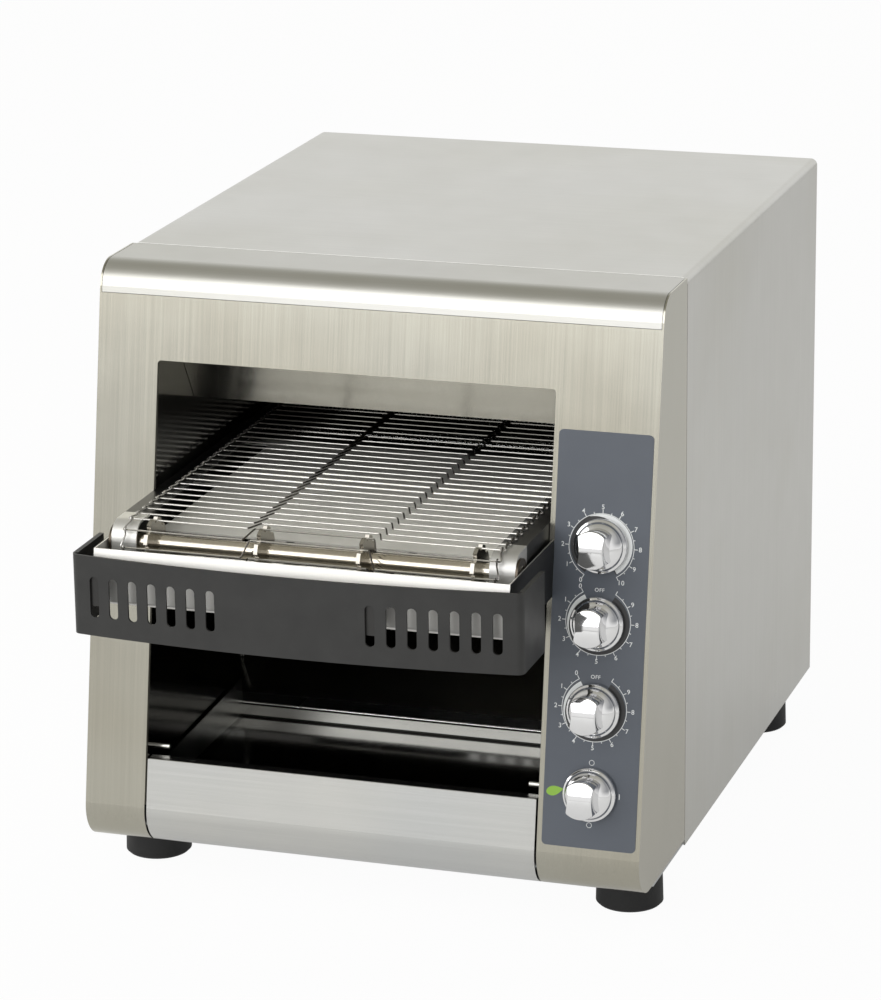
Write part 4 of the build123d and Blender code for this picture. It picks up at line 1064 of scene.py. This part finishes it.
@dataclass
class Dials:
    """Printed rings, ticks and numbers round the knobs, laid on the control overlay."""

    ring: float = 20.4 * MM
    line: float = 0.42 * MM
    tick: float = 2.6 * MM
    short_tick: float = 1.5 * MM
    steps: int = 10
    step: int = 30
    number_ring: float = 24.6 * MM
    number_size: float = 4.1 * MM
    ten_shift: float = 1.0 * MM
    spacing: float = 1.12
    weight: float = 0.035 * MM
    lift: float = -0.75 * MM
    shapes: list = field(default_factory=list)

    def lay(self, face: Face, points: np.ndarray, faces: np.ndarray | list) -> None:
        """Keeps a flat shape, given as points with right and up distances, for the print."""
        flat = np.concatenate([points, np.full((len(points), 1), self.lift)], 1)
        self.shapes.append((face.place(flat), faces))

    def arc(self, face: Face, angles: tuple, inner: float | tuple, outer: float | tuple, steps: int = 72) -> None:
        """Band between two radii, each changing evenly from the first angle to the last.

        Args:
            face: Frame at the dial's middle.
            angles: First and last angle, in degrees clockwise from the top.
            inner: Inner radius, or the pair of them at the first and last angle.
            outer: Outer radius, or such a pair.
            steps: Stretches along the band.
        """
        turn = np.radians(np.linspace(*angles, steps + 1))
        radii = np.stack([np.linspace(*np.broadcast_to(ends, 2), steps + 1) for ends in (inner, outer)])
        points = np.stack([radii * np.sin(turn), radii * np.cos(turn)], -1).reshape(-1, 2)
        self.lay(face, points, grid_faces(2, steps + 1))

    def bar(self, face: Face, angle: float, radii: tuple, width: float) -> None:
        """Straight mark between two radii, at an angle clockwise from the top."""
        half = np.degrees(width / 2 / radii[0])
        self.arc(face, (angle - half, angle + half), *radii, steps=1)

    def words(self, face: Face, text: str, place: tuple, size: float) -> None:
        """Letters or figures centred on a place.

        Args:
            face: Frame at the dial's middle.
            text: What is written.
            place: Right and up distances of its middle.
            size: Height of the line.
        """
        curve = bpy.data.curves.new("figures", "FONT")
        curve.body = text
        curve.size = size
        curve.space_character = self.spacing
        curve.align_x = "CENTER"
        curve.align_y = "CENTER"
        curve.offset = self.weight
        holder = bpy.data.objects.new("figures", curve)
        mesh = bpy.data.meshes.new_from_object(holder)
        faces = [np.array([list(side.vertices)]) for side in mesh.polygons]
        self.lay(face, mesh_points(mesh)[:, :2] + np.array(place), faces)
        bpy.data.objects.remove(holder)
        bpy.data.curves.remove(curve)
        bpy.data.meshes.remove(mesh)

    def scale(self, face: Face, scale: Scale) -> None:
        """Ring with ticks and numbers.

        Args:
            face: Frame at the dial's middle.
            scale: Its numbering.
        """
        last, start, sense = scale.value
        angles = [start + sense * self.step * i / 2 for i in range(2 * self.steps + 1)]
        self.arc(face, (angles[0], angles[-1]), self.ring, self.ring + self.line, steps=120)
        for index, angle in enumerate(angles):
            reach = self.short_tick if index % 2 else self.tick
            self.bar(face, angle, (self.ring, self.ring + reach), self.line)
        for number in range(last + 1):
            turn, figures = radians(start + sense * self.step * number), str(number)
            aside = self.ten_shift if len(figures) > 1 else 0.0
            self.words(face, figures, (self.number_ring * sin(turn) + aside, self.number_ring * cos(turn)),
                       self.number_size)

    def finish(self, name: str, finish: bpy.types.Material) -> bpy.types.Object:
        """Joins the shapes kept so far into one printed piece.

        Args:
            name: The piece's name.
            finish: Its ink.

        Returns:
            The piece.
        """
        points, faces = joined(self.shapes)
        self.shapes = []
        return make_piece(name, points, faces, "housing", finish, smooth=False)


@dataclass
class Controls:
    """Knobs with the print round them: a dark band under each white ring, and marks at the switch."""

    names: tuple = ("speed", "top_heat", "bottom_heat", "power")
    white: Coating = Coating("print_white", (0.84, 0.86, 0.87), 0.5, 0.05)
    dark: Coating = Coating("print_dark", (0.03, 0.03, 0.032), 0.45, 0.05)
    green: Coating = Coating("print_green", (0.28, 0.52, 0.06), 0.45, 0.05)
    speed_rise: float = -0.7 * MM
    heat_rise: float = 0.95 * MM
    wedge: float = 16.6 * MM
    speed_wedge: tuple = (19.3 * MM, 19.6 * MM)
    speed_angles: tuple = (-24, 16, 148)
    heat_wedge: tuple = (19.5 * MM, 19.7 * MM)
    heat_angles: tuple = (-28, -124)
    off_rise: float = 20.7 * MM
    off_size: float = 3.3 * MM
    spot_rise: float = 19.6 * MM
    spot: tuple = (1.45 * MM, 1.75 * MM)
    stroke: tuple = (18.2 * MM, 18.8 * MM)
    stroke_angle: float = 90
    stroke_length: float = 3.4 * MM
    band: float = 16.0 * MM
    speed_band: float = 19.7 * MM
    speed_sweep: tuple = (-150, 150)
    heat_band: float = 19.9 * MM
    heat_sweep: tuple = (-30, -330)
    band_drop: float = 0.02 * MM
    leaf_foot: tuple = (-28.3 * MM, -1.4 * MM)
    leaf_run: tuple = (10.6 * MM, 2.9 * MM)
    leaf_side: tuple = (-0.26, 0.965)
    leaf_half: float = 3.0 * MM
    leaf_foot_power: float = 0.75
    leaf_side_power: float = 0.8
    leaf_rows: int = 33

    def leaf(self, dials: Dials, face: Face) -> None:
        """Lays a leaf along a straight rib.

        Its half width is a power of the sine, over half a turn, of a power of the share of the way along it.

        Args:
            dials: The print that it is laid in.
            face: Frame at the switch's middle.
        """
        t = np.linspace(0, 1, self.leaf_rows)[:, None]
        rib = np.array(self.leaf_foot) + np.array(self.leaf_run) * t
        half = self.leaf_half * np.sin(pi * t**self.leaf_foot_power) ** self.leaf_side_power
        belly = half * np.array(self.leaf_side)
        dials.lay(face, np.concatenate([rib + belly, rib - belly]), grid_faces(2, self.leaf_rows))

    def build(self, finishes: dict) -> list[bpy.types.Object]:
        """Builds the four knobs and the print on the overlay, white over dark.

        Args:
            finishes: Materials by slot name.

        Returns:
            The knobs and the pieces of print.
        """
        made = [Knob().build(f"{name}_knob", f"{name}_turn", f"{name}_dial", finishes["knob_chrome"])
                for name in self.names]
        speed, *heats, power = (dial_face(f"{name}_turn") for name in self.names)
        white, dark, green = (ink.material() for ink in (self.white, self.dark, self.green))
        dials = Dials()
        first, middle, last = self.speed_angles
        dials.scale(speed.moved(self.speed_rise), Scale.SPEED)
        dials.arc(speed, (first, middle), (self.speed_wedge[0], self.wedge), self.speed_wedge[1], steps=16)
        dials.arc(speed, (middle, last), self.wedge, self.speed_wedge[1])
        for face in heats:
            dials.scale(face.moved(self.heat_rise), Scale.HEAT)
            dials.arc(face, self.heat_angles, (self.wedge, self.heat_wedge[0]), self.heat_wedge[1])
            dials.words(face, "OFF", (0, self.off_rise), self.off_size)
        for rise in (self.spot_rise, -self.spot_rise):
            dials.arc(power.moved(rise), (0, 360), *self.spot, steps=32)
        dials.bar(power, self.stroke_angle, self.stroke, self.stroke_length)
        made.append(dials.finish("dial_print", white))
        dials.lift -= self.band_drop
        dials.arc(speed, self.speed_sweep, self.band, self.speed_band)
        for face in heats:
            dials.arc(face, self.heat_sweep, self.band, self.heat_band)
        made.append(dials.finish("dial_bands", dark))
        self.leaf(dials, power)
        made.append(dials.finish("leaf_mark", green))
        return made


# ---------------------------------------------------------------- rear fasteners
@dataclass
class PanelScrews:
    """Pan-head screws along the edges of the rear panel; the head's profile is in millimetres."""

    head: tuple = ((0, 0), (3.2, 0), (3.2, 0.7), (2.9, 1.3), (2.2, 1.8), (1.2, 2.05), (0.8, 2.1), (0.7, 1.5),
                   (0, 1.3))
    round_points: int = 20
    inset: float = 7.0 * MM
    foot: float = 30.0 * MM
    top: float = 20.0 * MM
    rows: int = 4

    def build(self, finishes: dict) -> list[bpy.types.Object]:
        """Builds the heads, which stay inside the gland's reach.

        Args:
            finishes: Materials by slot name.

        Returns:
            The heads, as one piece.
        """
        low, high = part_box("rear_panel")
        profile = np.array(self.head) * MM
        right, up = np.array([-1.0, 0.0, 0.0]), np.array([0.0, 0.0, 1.0])
        heads = [turned(Face(np.array([x, high.y, z]), right, up), profile, self.round_points)
                 for x in (low.x + self.inset, high.x - self.inset)
                 for z in np.linspace(low.z + self.foot, high.z - self.top, self.rows)]
        points, faces = joined(heads)
        return [make_piece("panel_screws", points, faces, "housing", finishes["pin_steel"])]


# ---------------------------------------------------------------- studio
@dataclass(frozen=True)
class Lamp:
    """Soft rectangular lamp: where it hangs, the point that it faces, its size, and its power in watts."""

    name: str
    place: Point
    target: Point
    size: tuple[float, float]
    power: float

    def hang(self) -> None:
        """Hangs the lamp."""
        data = bpy.data.lights.new(self.name, "AREA")
        data.shape = "RECTANGLE"
        data.size, data.size_y = self.size
        data.energy = self.power
        made = bpy.data.objects.new(self.name, data)
        turn = (Vector(self.target) - Vector(self.place)).to_track_quat("-Z", "Y")
        made.matrix_world = Matrix.Translation(self.place) @ turn.to_matrix().to_4x4()
        bpy.context.scene.collection.objects.link(made)


@dataclass
class Studio:
    """Pale floor, soft lamps and the camera."""

    camera_place: Point = (0.7871, -2.4185, 0.9916)
    yaw: float = radians(18.179)
    pitch: float = radians(17.032)
    roll: float = radians(-0.778)
    lens: float = 144.556
    clip_end: float = 100.0
    floor_size: float = 40.0
    floor_grey: Colour = (0.82, 0.82, 0.815)
    floor_roughness: float = 0.9
    white: Colour = (1.0, 1.0, 1.0)
    rays: tuple = (("Is Camera Ray", 0.96), ("Is Glossy Ray", 0.36), ("Is Transmission Ray", 0.25))
    rear_levels: tuple = ((0.0, (1.0, 1.0, 0.985)), (0.30, (1.0, 1.0, 0.98)), (0.50, (0.80, 0.80, 0.77)),
                          (0.78, (0.42, 0.41, 0.36)), (1.0, (0.38, 0.37, 0.32)))
    front_levels: tuple = ((0.0, (0.92, 0.915, 0.90)), (0.14, (0.92, 0.915, 0.90)), (0.45, (0.78, 0.775, 0.76)),
                           (0.80, (0.46, 0.45, 0.40)), (1.0, (0.38, 0.37, 0.32)))
    rear_gain: float = 1.6
    right_level: Colour = (0.26, 0.265, 0.275)
    right_start: float = 0.32
    right_gain: float = 2.5
    right_rise: float = 4.0
    right_share: float = 0.9
    lamps: tuple[Lamp, ...] = (Lamp("front_box", (-0.8, -3.0, 1.96), (0.0, 0.0, 0.25), (2.6, 2.76), 45.0),
                               Lamp("left_box", (-2.4, -0.6, 1.5), (0.0, 0.0, 0.2), (1.6, 1.6), 16.0))

    def camera(self) -> None:
        """Sets the camera at the view's own angle, with no shift."""
        data = bpy.data.cameras.new("camera")
        data.lens = self.lens
        data.clip_end = self.clip_end
        made = bpy.data.objects.new("camera", data)
        turn = (Matrix.Rotation(self.yaw, 4, "Z") @ Matrix.Rotation(pi / 2 - self.pitch, 4, "X")
                @ Matrix.Rotation(self.roll, 4, "Z"))
        made.matrix_world = Matrix.Translation(self.camera_place) @ turn
        bpy.context.scene.collection.objects.link(made)
        bpy.context.scene.camera = made

    def floor(self) -> None:
        """Lays the floor: white to the eye and to reflections, and darker under the object's shadow."""
        half = self.floor_size / 2
        mesh = bpy.data.meshes.new("floor")
        mesh.from_pydata([(-half, -half, 0), (half, -half, 0), (half, half, 0), (-half, half, 0)], [], [(0, 1, 2, 3)])
        made = bpy.data.objects.new("floor", mesh)
        bpy.context.scene.collection.objects.link(made)
        shader = Shader("floor")
        shader.finish(Base_Color=self.floor_grey, Roughness=self.floor_roughness)
        path = shader.add("ShaderNodeLightPath")
        camera, *others = (Value(shader, path.outputs[ray]) * share for ray, share in self.rays)
        seen = sum(others, camera)
        white = shader.add("ShaderNodeEmission", {}, {"Color": self.white, "Strength": 1.0})
        both = shader.add("ShaderNodeMixShader", {}, {0: seen, 1: shader.surface.outputs[0], 2: white.outputs[0]})
        shader.link(shader.output, {"Surface": both.outputs[0]})
        mesh.materials.append(shader.made)

    def world(self) -> None:
        """White background, with a studio that is bright low at the rear and dim overhead."""
        made = bpy.data.worlds.new("studio")
        bpy.context.scene.world = made
        made.use_nodes = True
        graph = Graph(made.node_tree)
        place = graph.add("ShaderNodeTexCoord").outputs["Generated"]
        height = graph.axis(place, "Z")
        rear = graph.ramp(height, self.rear_levels)
        front = graph.ramp(height, self.front_levels)
        around = graph.mix((graph.axis(place, "Y") * self.rear_gain + 0.5).clamped(), front, rear)
        right = ((graph.axis(place, "X") - self.right_start) * self.right_gain).clamped()
        right = right * (height * self.right_rise).clamped()
        around = graph.mix(right * self.right_share, around, self.right_level)
        path = graph.add("ShaderNodeLightPath")
        shown = graph.mix(Value(graph, path.outputs["Is Camera Ray"]), around, self.white)
        shine = graph.add("ShaderNodeBackground", {}, {"Color": shown})
        graph.add("ShaderNodeOutputWorld", {}, {"Surface": shine.outputs[0]})

    def build(self) -> None:
        """Sets the whole studio up."""
        scene = bpy.context.scene
        scene.view_settings.view_transform = "Standard"
        self.camera()
        self.floor()
        self.world()
        for lamp in self.lamps:
            lamp.hang()


# ---------------------------------------------------------------- assembly
def main() -> None:
    """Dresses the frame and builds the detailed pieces."""
    logging.basicConfig(level=logging.INFO, format="%(name)s: %(message)s")
    finishes = dress_frame()
    for assembly in (WireBelt(), TrayEdges(), HeaterCoils(), Controls(), PanelScrews()):
        for piece in assembly.build(finishes):
            log.info("%s: %d faces", piece.name, len(piece.data.polygons))
    Studio().build()


if __name__ == "__main__":
    main()
